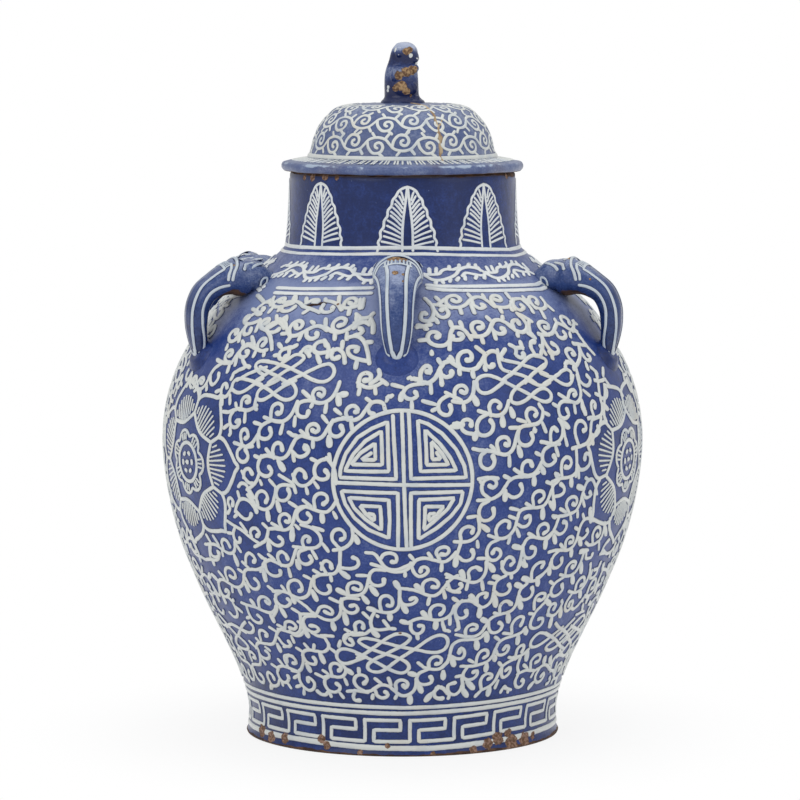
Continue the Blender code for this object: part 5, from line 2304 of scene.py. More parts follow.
    Sheet(37, 64, 82, 134, """
    c 145,10 150,65 185,100 235,100 270,60 250,15 s 150,60 120,120 80,150 44,165 B 140,90 165,148 B
    50,170 68,220 c 345,165 325,110 350,65 395,48 440,65 440,105 412,125 400,100 s 285,160 340,185
    420,190 470,165 495,110 495,50 500,-5 B 510,90 546,163 B 440,190 478,248 b 235,238 182,205 c
    330,195 262,215 228,275 240,335 290,365 350,350 382,305 345,258 c 110,450 78,385 90,325 140,303
    190,320 192,360 160,385 125,370 B 210,380 268,422 s 120,550 125,490 160,440 215,410 220,340 c
    130,500 110,570 130,630 190,650 250,635 275,590 250,548 205,555 b 115,500 75,490 c 300,530
    275,480 290,430 330,415 360,440 350,475 s 290,520 340,550 400,545 430,500 445,430 420,405 B
    365,560 385,638 B 440,480 480,556 c 555,330 532,280 555,230 605,210 655,245 660,290 620,300 s
    465,330 540,360 610,360 660,340 690,290 700,230 690,170 650,110 B 640,350 680,402 c 520,375
    485,425 500,500 560,535 610,490 590,425 540,440 550,470 b 600,500 655,520 s 660,520 720,500
    740,440 790,410 845,440 c 720,180 720,250 780,260 830,230 820,175 775,180
    """),
    Sheet(-64, -37, 34, 86, """
    k 44,200 120,150 190,95 250,40 320,0 k 230,80 290,105 350,100 400,60 410,20 380,-5 k 44,50
    120,55 190,75 260,105 k 44,130 110,170 180,200 210,250 170,285 100,290 44,270 c 430,150 432,90
    460,48 505,42 540,80 515,98 s 320,240 340,200 390,175 450,175 510,190 570,170 605,125 635,60
    680,10 719,0 b 640,40 590,10 b 400,175 378,145 c 340,240 325,290 350,330 410,340 460,315 465,275
    440,258 b 455,215 488,240 B 605,170 610,222 s 640,100 655,160 700,185 719,185 c 160,380 150,330
    180,290 225,290 255,320 240,355 215,350 s 60,520 100,450 150,410 220,420 280,410 310,360 330,300
    b 310,230 252,180 b 340,350 355,385 c 635,370 615,320 630,270 680,255 719,270 b 500,405 450,380
    s 500,405 560,370 620,380 680,400 719,410 b 585,368 555,320 c 520,400 475,440 480,510 520,545
    570,535 600,500 600,470 b 500,530 502,575 b 570,540 592,575 c 340,580 310,530 320,480 360,455
    400,475 405,515 s 350,590 400,590 450,570 475,520 B 345,580 320,606 c 120,470 110,530 150,580
    210,590 250,550 235,515 210,505 b 719,540 668,558
    """),
    Sheet(-39, -12, 34, 86, """
    s 150,20 165,60 210,70 250,50 275,10 b 150,70 155,125 s 340,20 370,50 430,52 s 435,60 465,115
    450,165 410,200 370,208 325,188 275,180 225,195 195,230 205,280 180,340 140,390 105,425 44,410 b
    455,150 495,190 b 205,208 165,182 b 275,180 250,135 b 315,185 332,135 c 200,250 205,300 255,332
    305,328 315,290 300,262 B 365,215 378,288 B 215,330 228,385 c 44,182 95,182 125,160 108,128 c
    20,330 25,275 75,255 120,285 118,330 85,335 s 44,475 100,445 c 110,425 85,480 105,545 165,588
    225,565 252,505 225,462 185,450 182,490 b 120,570 105,615 b 340,440 280,415 b 395,405 345,368 c
    400,428 350,450 335,510 360,565 420,582 475,560 488,520 458,495 c 430,420 415,350 435,305
    480,288 520,310 525,345 500,365 s 345,445 400,412 460,440 520,430 560,385 565,340 535,300 B
    565,350 600,383 b 535,440 548,492 c 370,570 340,610 290,612 258,580 b 375,585 382,612 b 470,575
    505,628 s 720,560 650,545 610,545 b 610,548 545,558 c 605,560 580,600 595,640 640,635 b 665,385
    668,322 c 690,545 630,520 605,460 630,405 680,388 725,405 735,440 700,475 c 660,-5 600,10 575,60
    590,110 640,128 660,100 635,60 b 555,80 535,130 k 740,225 700,200 650,172 600,150 545,150
    505,190 492,245 520,292 570,305 625,280 680,245 740,225
    """),
    Sheet(-14, 14, 34, 86, """
    k 44,235 90,208 150,160 200,110 255,65 300,20 345,-8 420,-5 460,30 440,75 385,115 330,150
    270,190 210,228 150,258 112,295 112,345 160,372 230,365 290,310 345,255 400,210 455,170 500,130
    555,80 610,25 665,5 715,25 738,90 715,160 640,188 560,168 490,145 400,130 330,105 260,80 200,65
    140,35 80,48 60,80 90,112 155,145 230,178 300,205 375,232 430,265 455,310 435,360 385,382
    325,362 270,325 205,285 150,245 90,215 44,200 b 500,0 505,42 c 605,335 588,280 612,225 660,208
    705,240 695,285 662,290 b 560,318 505,265 s 560,318 610,340 670,350 720,330 745,280 c 590,345
    525,365 500,420 520,475 580,492 635,475 642,440 622,412 B 505,395 458,378 s 505,430 512,500
    480,560 430,590 380,590 335,560 305,505 260,482 210,480 165,505 145,545 100,558 44,552 c 340,530
    325,480 350,440 400,430 440,455 445,495 415,520 402,490 b 218,475 170,430 b 298,485 275,408 b
    345,580 325,620 B 455,580 458,638 B 530,490 550,542 c 160,530 165,585 210,615 260,605 275,575
    250,552 b 140,580 130,625 B 640,570 600,622 s 745,520 720,500 690,510 655,560 c 680,515 655,560
    665,605 700,620 735,615 B 722,365 728,422
    """),
    Sheet(12, 39, 34, 86, """
    s 44,335 90,295 112,240 105,170 110,110 150,72 210,60 280,80 340,60 360,10 B 370,20 385,82 B
    300,85 318,152 c 105,210 150,250 215,255 235,210 215,155 180,138 180,185 B 125,240 150,302 c
    340,310 328,240 345,190 385,168 425,190 430,235 398,252 s 215,322 260,335 330,320 400,318
    440,300 475,250 485,190 480,130 510,90 570,70 640,65 690,40 700,0 b 310,290 260,258 c 270,335
    238,380 240,435 290,465 350,455 380,410 362,370 335,385 B 435,320 442,372 B 290,470 352,533 b
    240,412 190,420 s 240,440 255,490 265,530 B 260,540 305,598 c 255,490 250,550 205,595 150,585
    120,540 122,490 180,478 b 150,585 140,630 s 44,505 95,520 130,575 c 440,550 408,490 420,430
    470,400 520,425 520,455 490,462 b 440,565 395,612 s 440,560 500,550 550,510 578,450 575,380
    595,340 650,310 719,290 B 520,550 518,602 b 590,490 575,565 c 482,180 505,240 560,252 605,220
    605,165 570,148 558,185 B 490,250 505,293 b 492,95 450,62 B 655,75 672,138 c 595,375 598,435
    635,475 685,450 700,400 675,365 645,395 b 585,350 548,315 b 700,300 632,272 b 700,570 665,540 b
    660,570 645,612
    """),
    Sheet(37, 64, 34, 86, """
    B 85,20 100,62 c 70,260 55,210 75,170 115,160 135,185 125,230 s 44,280 90,285 150,270 185,220 B
    180,230 205,312 s 130,290 120,350 140,410 170,440 k 400,130 310,85 250,60 200,90 175,150 200,205
    270,210 340,170 400,130 460,90 510,55 k 310,80 400,125 470,160 540,200 600,240 660,275 719,290 k
    480,170 420,190 385,225 420,265 490,270 560,240 620,190 680,150 719,120 k 390,0 430,40 500,70
    580,100 650,150 719,180 k 480,130 540,90 600,40 640,0 k 560,170 620,120 690,60 c 300,410 262,350
    285,300 335,278 382,305 380,355 340,362 b 255,405 198,368 s 160,450 230,420 300,425 370,455
    420,420 470,400 530,410 590,450 640,490 719,490 b 360,460 350,495 B 470,395 445,335 B 570,405
    535,345 c 170,450 150,500 170,560 220,590 270,570 275,530 240,515 c 430,430 400,480 415,540
    465,575 530,560 555,510 520,480 500,510 B 405,560 368,598 c 620,460 590,410 610,350 660,325
    719,350 s 44,560 90,580 130,590 b 100,580 105,605
    """),
)

# What fills the shoulder beside the right rear handle
FILL_SHEET = Sheet(116, 143, 250, 313, """
    c 420,120 340,110 300,160 310,220 370,250 430,225 430,175 390,165 b 300,160 250,130 c 370,250
    320,300 310,370 360,420 430,420 470,370 450,310 400,310 b 310,370 255,360 c 360,420 400,480
    480,500 530,450 520,390 470,390 b 470,370 520,340 b 430,225 490,230 s 360,420 345,450 340,480 c
    340,480 300,530 310,600 370,640 440,620 460,560 420,520 380,540 b 440,620 480,670 s 370,640
    380,700 430,740
    """)


# Where the drawings go


@dataclass
class WallSlip:
    """All the slip trailed on the wall, gathered into pieces of a manageable size.

    The front drawing covers bearings -62 to 68. Mirrored about 68 it covers the right and
    the back; its left half, twice, covers the left.

    Attributes:
        wall: the jar's wall.
        handles: the handles, under whose feet and pads no line runs.
        slip: the slip's finish on the belly.
        pale_slip: its finish on the shoulder and the neck.
    """

    wall: Wall
    handles: list[Handle]
    slip: Finish
    pale_slip: Finish

    CARRIED = (
        ("front", (-62.0, 68.0), (-62.0, 68.0)),
        ("right", (-62.0, 68.0), (187.0, 68.0)),
        ("rear", (-62.0, -1.36), (187.0, 242.5)),
        ("left", (-62.0, -1.36), (298.0, 242.5)),
    )
    # What of the front drawing fills the strip under the right flower, and up to which level
    FILLED = ("seam", (-7.4, 7.4), (60.8, 75.2))
    FILLED_UP_TO = 82.0
    LOTUSES = (
        Lotus(-61.5, 193.0, (104.6, 53.2, 1.8, -49.6, -101.0, -152.5, 156.0)),
        Lotus(68.0, 193.0, (14.0, 65.5, 114.5, 166.0, 220.0, 270.0, 320.0), 26.0),
        Lotus(187.0, 193.0, (14.0, 65.5, 114.5, 166.0, 217.0, 270.0, 323.0)),
    )
    # The drawings' level whose front one has the roundel
    ROUNDEL_LEVEL = 130.0
    # Ovals kept clear round each lotus, and under each handle's pad and head, as half span
    # in degrees and half height, the last two with their heights first
    LOTUS_CLEAR = (17.5, 49.0)
    HANDLE_CLEAR = ((261.0, 5.6, 10.0), (318.0, 7.0, 9.0))
    # Half width and (bearing, height) points of the lines over and under the key fret
    FOOT_LINES = (
        (1.5, ((-60.0, 35.0), (-48.0, 34.6), (0.0, 33.3), (45.0, 35.0), (64.0, 35.6),
               (180.0, 34.2))),
        (1.65, ((-60.0, 30.2), (-48.0, 30.0), (0.0, 29.3), (45.0, 31.4), (64.0, 31.8),
                (180.0, 30.2))),
    )
    FOOT_EDGE = (
        1.9, ((-60.0, 7.0), (-40.0, 7.2), (-10.0, 5.6), (10.0, 5.4), (30.0, 6.6), (64.0, 8.4),
              (180.0, 6.4)),
    )
    # Half width of the lines beside the handles, the millimetres of one degree there and
    # the spacing of their points
    SHOULDER_HALF = 1.75
    SHOULDER_REACH = 1.9
    SHOULDER_STEP = 1.8
    SHOULDER_LINES = (
        ((-64.0, 310.5), (-58.5, 307.4)), ((-63.0, 307.0), (-58.5, 305.2)),
        ((-50.0, 307.9), (-39.0, 308.3), (-25.0, 309.3), (-11.0, 310.3)),
        ((-49.0, 304.9), (-39.0, 305.3), (-25.0, 306.2), (-11.0, 307.1)),
        ((9.0, 312.0), (14.0, 311.2), (25.0, 310.7), (38.0, 310.2), (50.0, 309.5),
         (57.0, 309.2), (62.0, 310.2)),
        ((9.0, 310.2), (14.0, 309.0), (25.0, 308.1), (38.0, 307.3), (50.0, 306.7),
         (57.0, 306.3), (61.0, 307.0)),
        ((79.0, 309.4), (134.0, 309.0)), ((80.0, 306.6), (133.0, 306.2)),
        ((152.0, 308.8), (182.0, 309.0)), ((153.0, 306.0), (181.0, 306.2)),
        ((200.0, 308.8), (230.0, 309.2)), ((201.0, 306.0), (229.0, 306.4)),
        ((248.0, 309.0), (284.0, 308.6)), ((249.0, 306.2), (283.0, 305.8)),
    )
    NECK_FOOT = (
        (-75.0, 329.0), (-59.0, 329.1), (-12.0, 331.2), (10.0, 331.2), (36.0, 329.6), (63.0, 327.2),
        (100.0, 328.0), (180.0, 330.0), (260.0, 329.5),
    )
    # How far over the neck's foot each line lies, and its half width
    NECK_LINES = ((0.0, 1.3), (4.0, 1.35))
    # Bearing and height of each leaf's tip, and how many times the usual width it is
    LEAVES = (
        (-45.2, 376.6, 1.0), (2.4, 375.2, 1.0), (44.8, 375.9, 1.12), (90.0, 376.6, 1.05),
        (135.0, 375.8, 1.0), (180.0, 376.6, 1.1), (225.0, 376.0, 1.0), (270.0, 376.6, 1.05),
    )

    def make(self) -> None:
        """Trails every band."""
        solid, skin = self.wall.solid, self.wall.skin
        under = tuple(
            (handle.bearing, level + handle.lift, wide, tall)
            for handle in self.handles
            for level, wide, tall in self.HANDLE_CLEAR
            if handle.place != "front"
        )
        flowers = tuple((lotus.bearing, lotus.height, *self.LOTUS_CLEAR) for lotus in self.LOTUSES)
        sheets = [(sheet, sheet.lines(solid)) for sheet in SHEETS]
        for name, front, there in (*self.CARRIED, self.FILLED):
            for level in sorted({sheet.low for sheet, _ in sheets}, reverse=True):
                if name == "seam" and level > self.FILLED_UP_TO:
                    continue
                lines = [line for sheet, traces in sheets if sheet.low == level for line in traces]
                if level == self.ROUNDEL_LEVEL:
                    lines += Roundel().lines(solid)
                trailer = Trailer(seed=int(level))
                clear = under if name == "front" else under + flowers
                trail(trailer, skin, lines, (front, there), clear)
                self.finish(trailer, f"slip_{name}_{int(level)}", self.slip)
        trailer = Trailer(seed=71)
        trail(trailer, skin, FILL_SHEET.lines(solid))
        for lotus in self.LOTUSES:
            trail(trailer, skin, lotus.lines(solid))
        self.finish(trailer, "slip_lotuses", self.slip)
        self.make_foot(solid, skin)
        self.make_shoulder(solid, skin, under)
        self.make_neck(solid, skin)

    def make_foot(self, solid: Skin, skin: Skin) -> None:
        """Two lines, the key fret and one line under it.

        Args:
            solid: the wall's solid face, on which lines are drawn.
            skin: its glazed face, on which they lie.
        """
        trailer = Trailer(seed=5, proud=0.9)
        lines = [band_line(solid, level, half) for half, level in self.FOOT_LINES]
        half, level = self.FOOT_EDGE
        lines += [*KeyFret(solid).lines(), band_line(solid, level, half)]
        trail(trailer, skin, lines)
        self.finish(trailer, "slip_foot", self.slip)

    def make_shoulder(self, solid: Skin, skin: Skin, under: Table) -> None:
        """Double lines between the handles and the frieze above them.

        Args:
            solid: the wall's solid face, on which lines are drawn.
            skin: its glazed face, on which they lie.
            under: ovals under the handles, kept clear.
        """
        trailer = Trailer(seed=9, proud=0.9)
        for points in self.SHOULDER_LINES:
            spots = np.array(points)
            start, end = float(spots[0, 0]), float(spots[-1, 0])
            count = int((end - start) * self.SHOULDER_REACH / self.SHOULDER_STEP) + 4
            bearing = np.linspace(start, end, count)
            height = np.interp(bearing, spots[:, 0], spots[:, 1])
            half = np.full(count, self.SHOULDER_HALF)
            trail(trailer, skin, [Trace(bearing, height, half)])
        trail(trailer, skin, Frieze(solid).lines(), keep_out=under)
        self.finish(trailer, "slip_frieze", self.pale_slip)

    def make_neck(self, solid: Skin, skin: Skin) -> None:
        """Two lines round the neck's foot and the standing leaves.

        Args:
            solid: the wall's solid face, on which lines are drawn.
            skin: its glazed face, on which they lie.
        """
        trailer = Trailer(seed=13, proud=0.5)
        lines = []
        for rise, half in self.NECK_LINES:
            level = tuple((bearing, height + rise) for bearing, height in self.NECK_FOOT)
            lines.append(band_line(solid, level, half))
        for bearing, height, wide in self.LEAVES:
            lines += Leaf(bearing, height, wide, solid).lines()
        trail(trailer, skin, lines)
        self.finish(trailer, "slip_neck", self.pale_slip)

    def finish(self, trailer: Trailer, name: str, slip: Finish) -> None:
        """Makes one piece of what was trailed."""
        if trailer.parts:
            carry(trailer.make(name, slip), Body.JAR, Slot.BODY)


@dataclass
class HandleSlip:
    """The stripes, brows, combs and dabs trailed on the handles.

    Attributes:
        handles: the handles.
        slip: the finish.
    """

    handles: list[Handle]
    slip: Finish

    # Half width in millimetres and (share of the length, degrees from outwards) points
    SIDE_STROKES = (
        (1.05, ((0.385, 74.0), (0.45, 68.0), (0.60, 66.0), (0.75, 72.0), (0.88, 78.0),
                (0.945, 66.0), (0.955, 46.0))),
        (1.10, ((0.272, 24.0), (0.290, 46.0), (0.318, 64.0), (0.345, 84.0))),
        (1.05, ((0.305, 26.0), (0.322, 46.0), (0.352, 62.0), (0.372, 78.0))),
        (1.20, ((0.175, 34.0), (0.215, 46.0), (0.250, 62.0))),
        (1.10, ((0.130, 28.0), (0.165, 46.0), (0.195, 66.0))),
        (0.80, ((0.085, 78.0), (0.105, 84.0), (0.118, 96.0), (0.110, 108.0))),
        (0.80, ((0.080, 80.0), (0.072, 92.0), (0.085, 106.0))),
        (1.50, ((0.205, 14.0), (0.218, 20.0))),
    )
    MIDDLE_STROKES = (
        (1.25, ((0.36, 25.0), (0.42, 24.0), (0.50, 25.0), (0.62, 29.0), (0.75, 29.0), (0.88, 25.0),
                (0.955, 17.0), (0.972, 0.0), (0.955, -17.0), (0.88, -25.0), (0.75, -29.0),
                (0.62, -31.0), (0.50, -27.0), (0.42, -25.0), (0.36, -26.0))),
        (1.60, ((0.93, -20.0), (0.966, -8.0), (0.972, 0.0), (0.966, 8.0), (0.93, 20.0))),
        (1.05, ((0.272, -24.0), (0.262, 0.0), (0.272, 24.0))),
        (0.90, ((0.352, -32.0), (0.343, 0.0), (0.352, 32.0))),
    )
    # The comb's start and end as shares of the length, the degrees it reaches to each side,
    # how many teeth it has, their half width and how much wider apart they end
    COMB = (0.308, 0.345, 28.0, 8)
    COMB_HALF = 0.75
    COMB_FAN = 1.05
    # Millimetres in the whole length and in one degree round, and the points' spacing
    LENGTH = 82.0
    ROUND = 0.24
    SPACING = 1.2
    # How much further round the clay the strokes that start past LONG_FROM of the length lie,
    # on every handle but the front one
    SPREAD = 1.32
    LONG_FROM = 0.355

    def make(self) -> None:
        """Trails every handle's strokes, one piece for each handle."""
        strokes = list(self.MIDDLE_STROKES)
        for side in (-1.0, 1.0):
            for half, points in self.SIDE_STROKES:
                strokes.append((half, tuple((share, side * angle) for share, angle in points)))
        low, high, reach, count = self.COMB
        for angle in np.linspace(-reach, reach, count):
            strokes.append((self.COMB_HALF, ((low, angle), (high, angle * self.COMB_FAN))))
        for k, handle in enumerate(self.handles):
            trailer = Trailer(seed=40 + 7 * k, proud=0.6)
            for half, points in strokes:
                wider = points[0][0] > self.LONG_FROM and handle.place != "front"
                spread = self.SPREAD if wider else 1.0
                points = tuple((share, spread * angle) for share, angle in points)
                self.stroke(trailer, handle, half, points)
            piece = trailer.make(f"slip_head_{handle.place}", self.slip)
            carry(piece, Body.JAR, Slot.HANDLE)

    def stroke(self, trailer: Trailer, handle: Handle, half: float, points: Line) -> None:
        """Trails one stroke over a handle's clay.

        Args:
            trailer: what gathers it.
            handle: the handle.
            half: half width in millimetres.
            points: (share of the length, degrees from outwards) points.
        """
        flat = drawn_curve(np.array(points) * (self.LENGTH, self.ROUND), 6)
        path = resampled(flat, self.SPACING)
        share, angle = path[:, 0] / self.LENGTH, np.radians(path[:, 1] / self.ROUND)
        spots, square = handle.place_at(share, angle), handle.outward(share, angle)
        trailer.add(spots, square, np.full(len(path), half))


@dataclass
class LidSlip:
    """The running scrolls, the band and the combed edge trailed on the lid.

    Attributes:
        shell: the lid's shell.
        slip: the finish.
    """

    shell: LidShell
    slip: Finish

    # Height of each row's middle and how many curls it has, which hang and stand by turns
    ROWS = ((402.6, 22), (416.4, 20), (426.0, 16))
    # The share of a curl by which each row is turned against the one under it
    ROW_TURN = 0.37
    UNIT_WIDTH = 14.0
    GROWN = 1.34
    # Half width in millimetres and points of one unit whose curl stands on the vine
    UNIT = (
        (0.80, ((-7.0, 0.0), (-4.6, -2.3), (0.0, -3.4), (4.6, -2.3), (7.0, 0.0))),
        (0.85, ((-5.6, -1.4), (-4.6, 2.0), (-1.6, 4.7), (2.0, 4.2), (3.4, 1.5), (1.8, -0.7),
                (-0.6, -0.2), (-0.9, 1.4), (0.2, 2.0))),
        (0.85, ((4.4, -2.6), (6.2, -4.9))),
        (0.80, ((-1.4, -3.6), (-3.0, -5.6))),
        (0.85, ((1.6, 4.9), (3.4, 6.3))),
    )
    SPACING = 1.1
    # The smallest radius that the width of a degree is worked out from
    LEAST_RADIUS = 12.0
    # Height and half width of the band, and where the wavering of band and ticks starts
    BAND = (393.3, 1.6)
    BAND_SEED = 368
    # The ticks' number, inner and outer height, half width and how unevenly they stand
    TICKS = (150, 391.6, 389.9)
    TICK_HALF = 0.72
    UNEVEN = (0.25, 2.3)

    def make(self) -> None:
        """Trails the rows, then the band and the ticks."""
        skin = self.shell.skin
        trailer = Trailer(seed=23, proud=0.5)
        for row, (height, count) in enumerate(self.ROWS):
            for k in range(count):
                bearing = 360.0 / count * (k + self.ROW_TURN * row)
                self.unit(trailer, skin, bearing, height, count, -1.0 if k % 2 else 1.0)
        level, half = self.BAND
        lines = [band_line(skin, ((0.0, level),), half)]
        count, inner, outer = self.TICKS
        sway, pace = self.UNEVEN
        for k in range(count):
            bearing = 360.0 / count * (k + sway * math.sin(pace * k))
            height = np.linspace(inner, outer, 3)
            lines.append(Trace(np.full(3, bearing), height, np.full(3, self.TICK_HALF)))
        trailer.seed = self.BAND_SEED
        trail(trailer, skin, lines)
        carry(trailer.make("slip_lid", self.slip), Body.LID, Slot.LID)

    def unit(
        self, trailer: Trailer, skin: Skin, bearing: float, height: float, count: int, side: float
    ) -> None:
        """Trails one unit of a running scroll, stretched to fill its share of the turn.

        Args:
            trailer: what gathers it.
            skin: the lid's glazed face.
            bearing: of the unit's middle.
            height: of the row's middle.
            count: how many units go round.
            side: 1 where the curl stands, -1 where it hangs.
        """
        patch = Patch.at(skin, bearing, height)
        wide = patch.reach * 360.0 / count / self.UNIT_WIDTH
        for half, points in self.UNIT:
            flat = drawn_curve(np.array(points) * (1.0, side * self.GROWN), 6)
            path = resampled(flat, self.SPACING)
            run = patch.run + path[:, 1]
            reach = math.radians(1.0) * np.maximum(skin.radius_at(run), self.LEAST_RADIUS)
            spots = bearing + path[:, 0] * wide / reach * (reach / patch.reach) ** 0.5
            laid, square = skin.place(spots, run)
            trailer.add(laid, square, np.full(len(path), half * self.GROWN))


@dataclass(frozen=True)
class Scars:
    """The mended crack in the lid and the scratches on the jar, filled with bare clay.

    Attributes:
        crack: bearing, height and half width of points along the crack.
        branch: the same of its short branch.
        scratch: the same of the scratch on the shoulder.
    """

    crack: Table = (
        (24.4, 390.6, 0.7), (24.0, 392.4, 0.8), (23.4, 395.0, 0.8), (24.6, 398.5, 1.2),
        (24.0, 402.0, 0.9), (25.0, 406.0, 1.5), (24.4, 410.0, 1.0), (25.2, 414.0, 0.9),
        (24.6, 418.0, 0.8), (25.2, 421.5, 0.9), (24.0, 424.0, 0.7), (23.6, 426.6, 0.9),
        (24.5, 427.8, 0.8), (28.0, 428.43, 0.7), (36.0, 428.75, 0.8),
    )
    branch: Table = (
        (25.4, 414.0, 0.6), (28.6, 416.5, 0.5), (31.0, 420.0, 0.35),
    )
    scratch: Table = (
        (-31.6, 298.2, 0.5), (-30.0, 299.2, 1.0), (-28.2, 299.4, 0.7), (-26.6, 300.4, 1.0),
        (-25.2, 300.6, 0.5),
    )

    def make(self, wall: Wall, shell: LidShell, tan: Finish, dark: Finish) -> None:
        """Fills each of them.

        Args:
            wall: the jar's wall.
            shell: the lid's shell.
            tan: what fills the crack.
            dark: the clay in the scratch.
        """
        for name, skin, body, proud, clay, lines in (
            ("lid_crack", shell.skin, Body.LID, 0.6, tan, (self.crack, self.branch)),
            ("shoulder_scratch", wall.skin, Body.JAR, 1.02, dark, (self.scratch,)),
        ):
            trailer = Trailer(seed=3, proud=proud, hand=0.3)
            for line in lines:
                table = smooth_curve(np.array(line), 6)
                trail(trailer, skin, [Trace(table[:, 0], table[:, 1], table[:, 2])])
            carry(trailer.make(name, clay), body, Slot.CLAY)


# What the finishes and pieces are made with

# Each handle's place, its bearing and how far it sits above the side handles
HANDLE_PLACES = (
    ("front", -1.5, 5.5),
    ("right", 69.7, 0.0),
    ("rear_right", 143.0, -3.2),
    ("rear", -169.0, -3.2),
    ("rear_left", -121.0, -3.2),
    ("left", -67.5, 0.0),
)

# Chips down to the clay, as x, y, z and radius in millimetres
FOOT_CHIPS = (
    (-54.0, -90.5, 9.5, 3.2), (-50.0, -92.5, 5.5, 3.0), (-10.0, -105.0, 7.4, 2.1),
    (-79.0, -70.0, 6.0, 4.0), (-88.0, -58.0, 5.0, 4.5), (-95.0, -46.0, 7.0, 5.0),
    (57.0, -89.5, 6.0, 4.2), (64.0, -84.5, 8.5, 5.0), (71.0, -78.5, 11.0, 3.6),
    (73.0, -76.5, 4.0, 6.5), (82.0, -67.0, 5.0, 5.5), (88.0, -59.0, 6.0, 3.2),
    (47.0, -95.0, 3.0, 3.0), (20.0, -104.0, 1.5, 2.0), (-28.0, -102.0, 2.0, 2.2),
    (15.0, 104.5, 4.0, 4.0), (98.0, 39.0, 5.0, 5.0), (-80.0, 70.0, 6.0, 4.0),
)
BELLY_CHIPS = (
    (22.5, -155.0, 140.0, 1.6), (-1.8, -133.0, 86.5, 1.6), (63.0, -144.0, 233.0, 1.2),
    (-42.0, -110.0, 300.0, 1.2), (30.0, -159.0, 112.0, 1.0),
)
NECK_CHIPS = (
    (-60.0, -47.0, 380.5, 3.0), (-52.0, -56.0, 381.5, 3.4), (-44.0, -63.0, 381.0, 2.2),
    (-66.0, -39.0, 380.0, 2.4), (70.0, -31.0, 380.5, 2.2), (20.0, 74.0, 380.5, 3.0),
)

# The levels paint light and shade as well as the glaze's thickness: the pale band round the
# shoulder is a painted highlight and sheen from the lamps above, the belly is painted darker down
# towards the foot as painted shade, and the neck is painted deep, darkest up at the flange.
BODY_GLAZE = BlueGlaze(
    "jar_blue",
    deep=srgb(14, 36, 90),
    plain=srgb(38, 64, 134),
    pale=srgb(126, 140, 182),
    levels=((0, 0.2), (25, 0.22), (60, 0.36), (120, 0.42), (200, 0.42), (260, 0.5),
            (290, 0.74), (300, 0.9), (309, 0.9), (314, 0.66), (326, 0.6), (333, 0.3),
            (340, 0.16), (372, 0.16), (383, 0.08)),
    clay=CLAY_ROSE,
    chips=FOOT_CHIPS + BELLY_CHIPS + NECK_CHIPS,
)
# Paler towards the tops of the handles: partly thin glaze, partly painted light from the lamps
# above.
HANDLE_GLAZE = BlueGlaze(
    "handle_blue",
    deep=srgb(20, 38, 84),
    plain=srgb(52, 74, 128),
    pale=srgb(150, 164, 196),
    levels=((240, 0.2), (262, 0.25), (296, 0.34), (310, 0.5), (322, 0.66), (335, 0.9)),
    roughness=0.2,
)
LID_GLAZE = BlueGlaze(
    "lid_blue",
    deep=srgb(48, 62, 104),
    plain=srgb(84, 100, 144),
    pale=srgb(164, 174, 196),
    levels=((383, 0.5), (392, 0.55), (410, 0.5), (430, 0.6)),
    roughness=0.36,
    grime=0.25,
)
# Bare places on the handles, as place, share of the length, degrees and radius in millimetres
HEAD_CHIPS = (
    ("front", 0.285, -10.0, 4.2), ("front", 0.29, 6.0, 4.4), ("front", 0.43, -4.0, 2.3),
    ("front", 0.44, 16.0, 1.5), ("front", 0.50, 17.0, 1.2), ("right", 0.245, -18.0, 2.2),
    ("right", 0.385, -30.0, 1.1), ("right", 0.43, -56.0, 1.0), ("right", 0.52, -36.0, 1.0),
    ("left", 0.30, 34.0, 1.2), ("left", 0.34, 12.0, 0.9), ("left", 0.17, -20.0, 1.3),
    ("rear", 0.16, 10.0, 1.6), ("rear_left", 0.24, 20.0, 1.4), ("rear_right", 0.34, -12.0, 1.4),
)
BEAST_GLAZE = BlueGlaze(
    "beast_blue",
    deep=srgb(20, 32, 78),
    plain=srgb(50, 68, 120),
    pale=srgb(170, 180, 204),
    levels=((428, 0.4), (431, 0.1), (442, 0.25), (450, 0.7), (454, 0.3), (459, 0.1),
            (463, 0.5), (467, 1.1)),
    roughness=0.25,
    chips=(
        (2.6, -7.4, 463.2, 2.9), (4.8, -7.0, 464.4, 2.4), (-2.2, -9.9, 446.8, 3.4),
        (2.8, -9.9, 449.2, 3.8), (6.6, -8.2, 450.4, 3.8), (-4.4, -9.8, 438.8, 2.8),
        (-0.6, -10.5, 440.2, 3.6), (2.6, -10.4, 436.4, 2.6), (6.0, -9.6, 433.2, 1.4),
        (2.0, 10.0, 448.0, 4.0), (-6.0, 9.0, 438.0, 3.2),
    ),
    dabs=(
        (-5.3, -7.5, 464.0, 1.9), (5.7, -7.0, 460.0, 1.7), (9.1, -3.5, 458.0, 1.5),
        # The first spot on this line, on the near side of the nose, is a painted highlight, not
        # slip.
        (9.7, -3.0, 455.3, 1.6), (-9.6, -6.0, 439.0, 1.3), (-9.8, -5.6, 436.6, 1.2),
        (9.1, 3.5, 458.0, 1.5), (5.7, 7.0, 460.0, 1.7), (-5.3, 7.5, 464.0, 1.9),
        (-2.6, -8.0, 461.0, 1.2),
    ),
)
BELLY_SLIP = TrailedSlip("belly_slip", edge=srgb(24, 32, 84), chips=FOOT_CHIPS + BELLY_CHIPS)
SHOULDER_SLIP = TrailedSlip(
    "shoulder_slip", edge=srgb(46, 58, 108), cream=srgb(234, 238, 238)
)
HANDLE_SLIP = TrailedSlip(
    "handle_slip", edge=srgb(30, 42, 92), cream=srgb(202, 211, 218), thin=0.5
)
LID_SLIP = TrailedSlip("lid_slip", edge=srgb(66, 80, 118), thin=0.4)
# The pad keeps the body's painted light from above, paler upwards, with deeper stops than the body
# at the same heights.
PAD_GLAZE = replace(BODY_GLAZE, name="pad_blue", levels=((240, 0.3), (275, 0.34), (300, 0.6)))
CRACK_MEND = DullClay("tan_mend", srgb(150, 122, 92), srgb(206, 188, 156))
SCRATCH_CLAY = DullClay("dark_scratch", srgb(40, 28, 30), CLAY_DARK)


# The studio


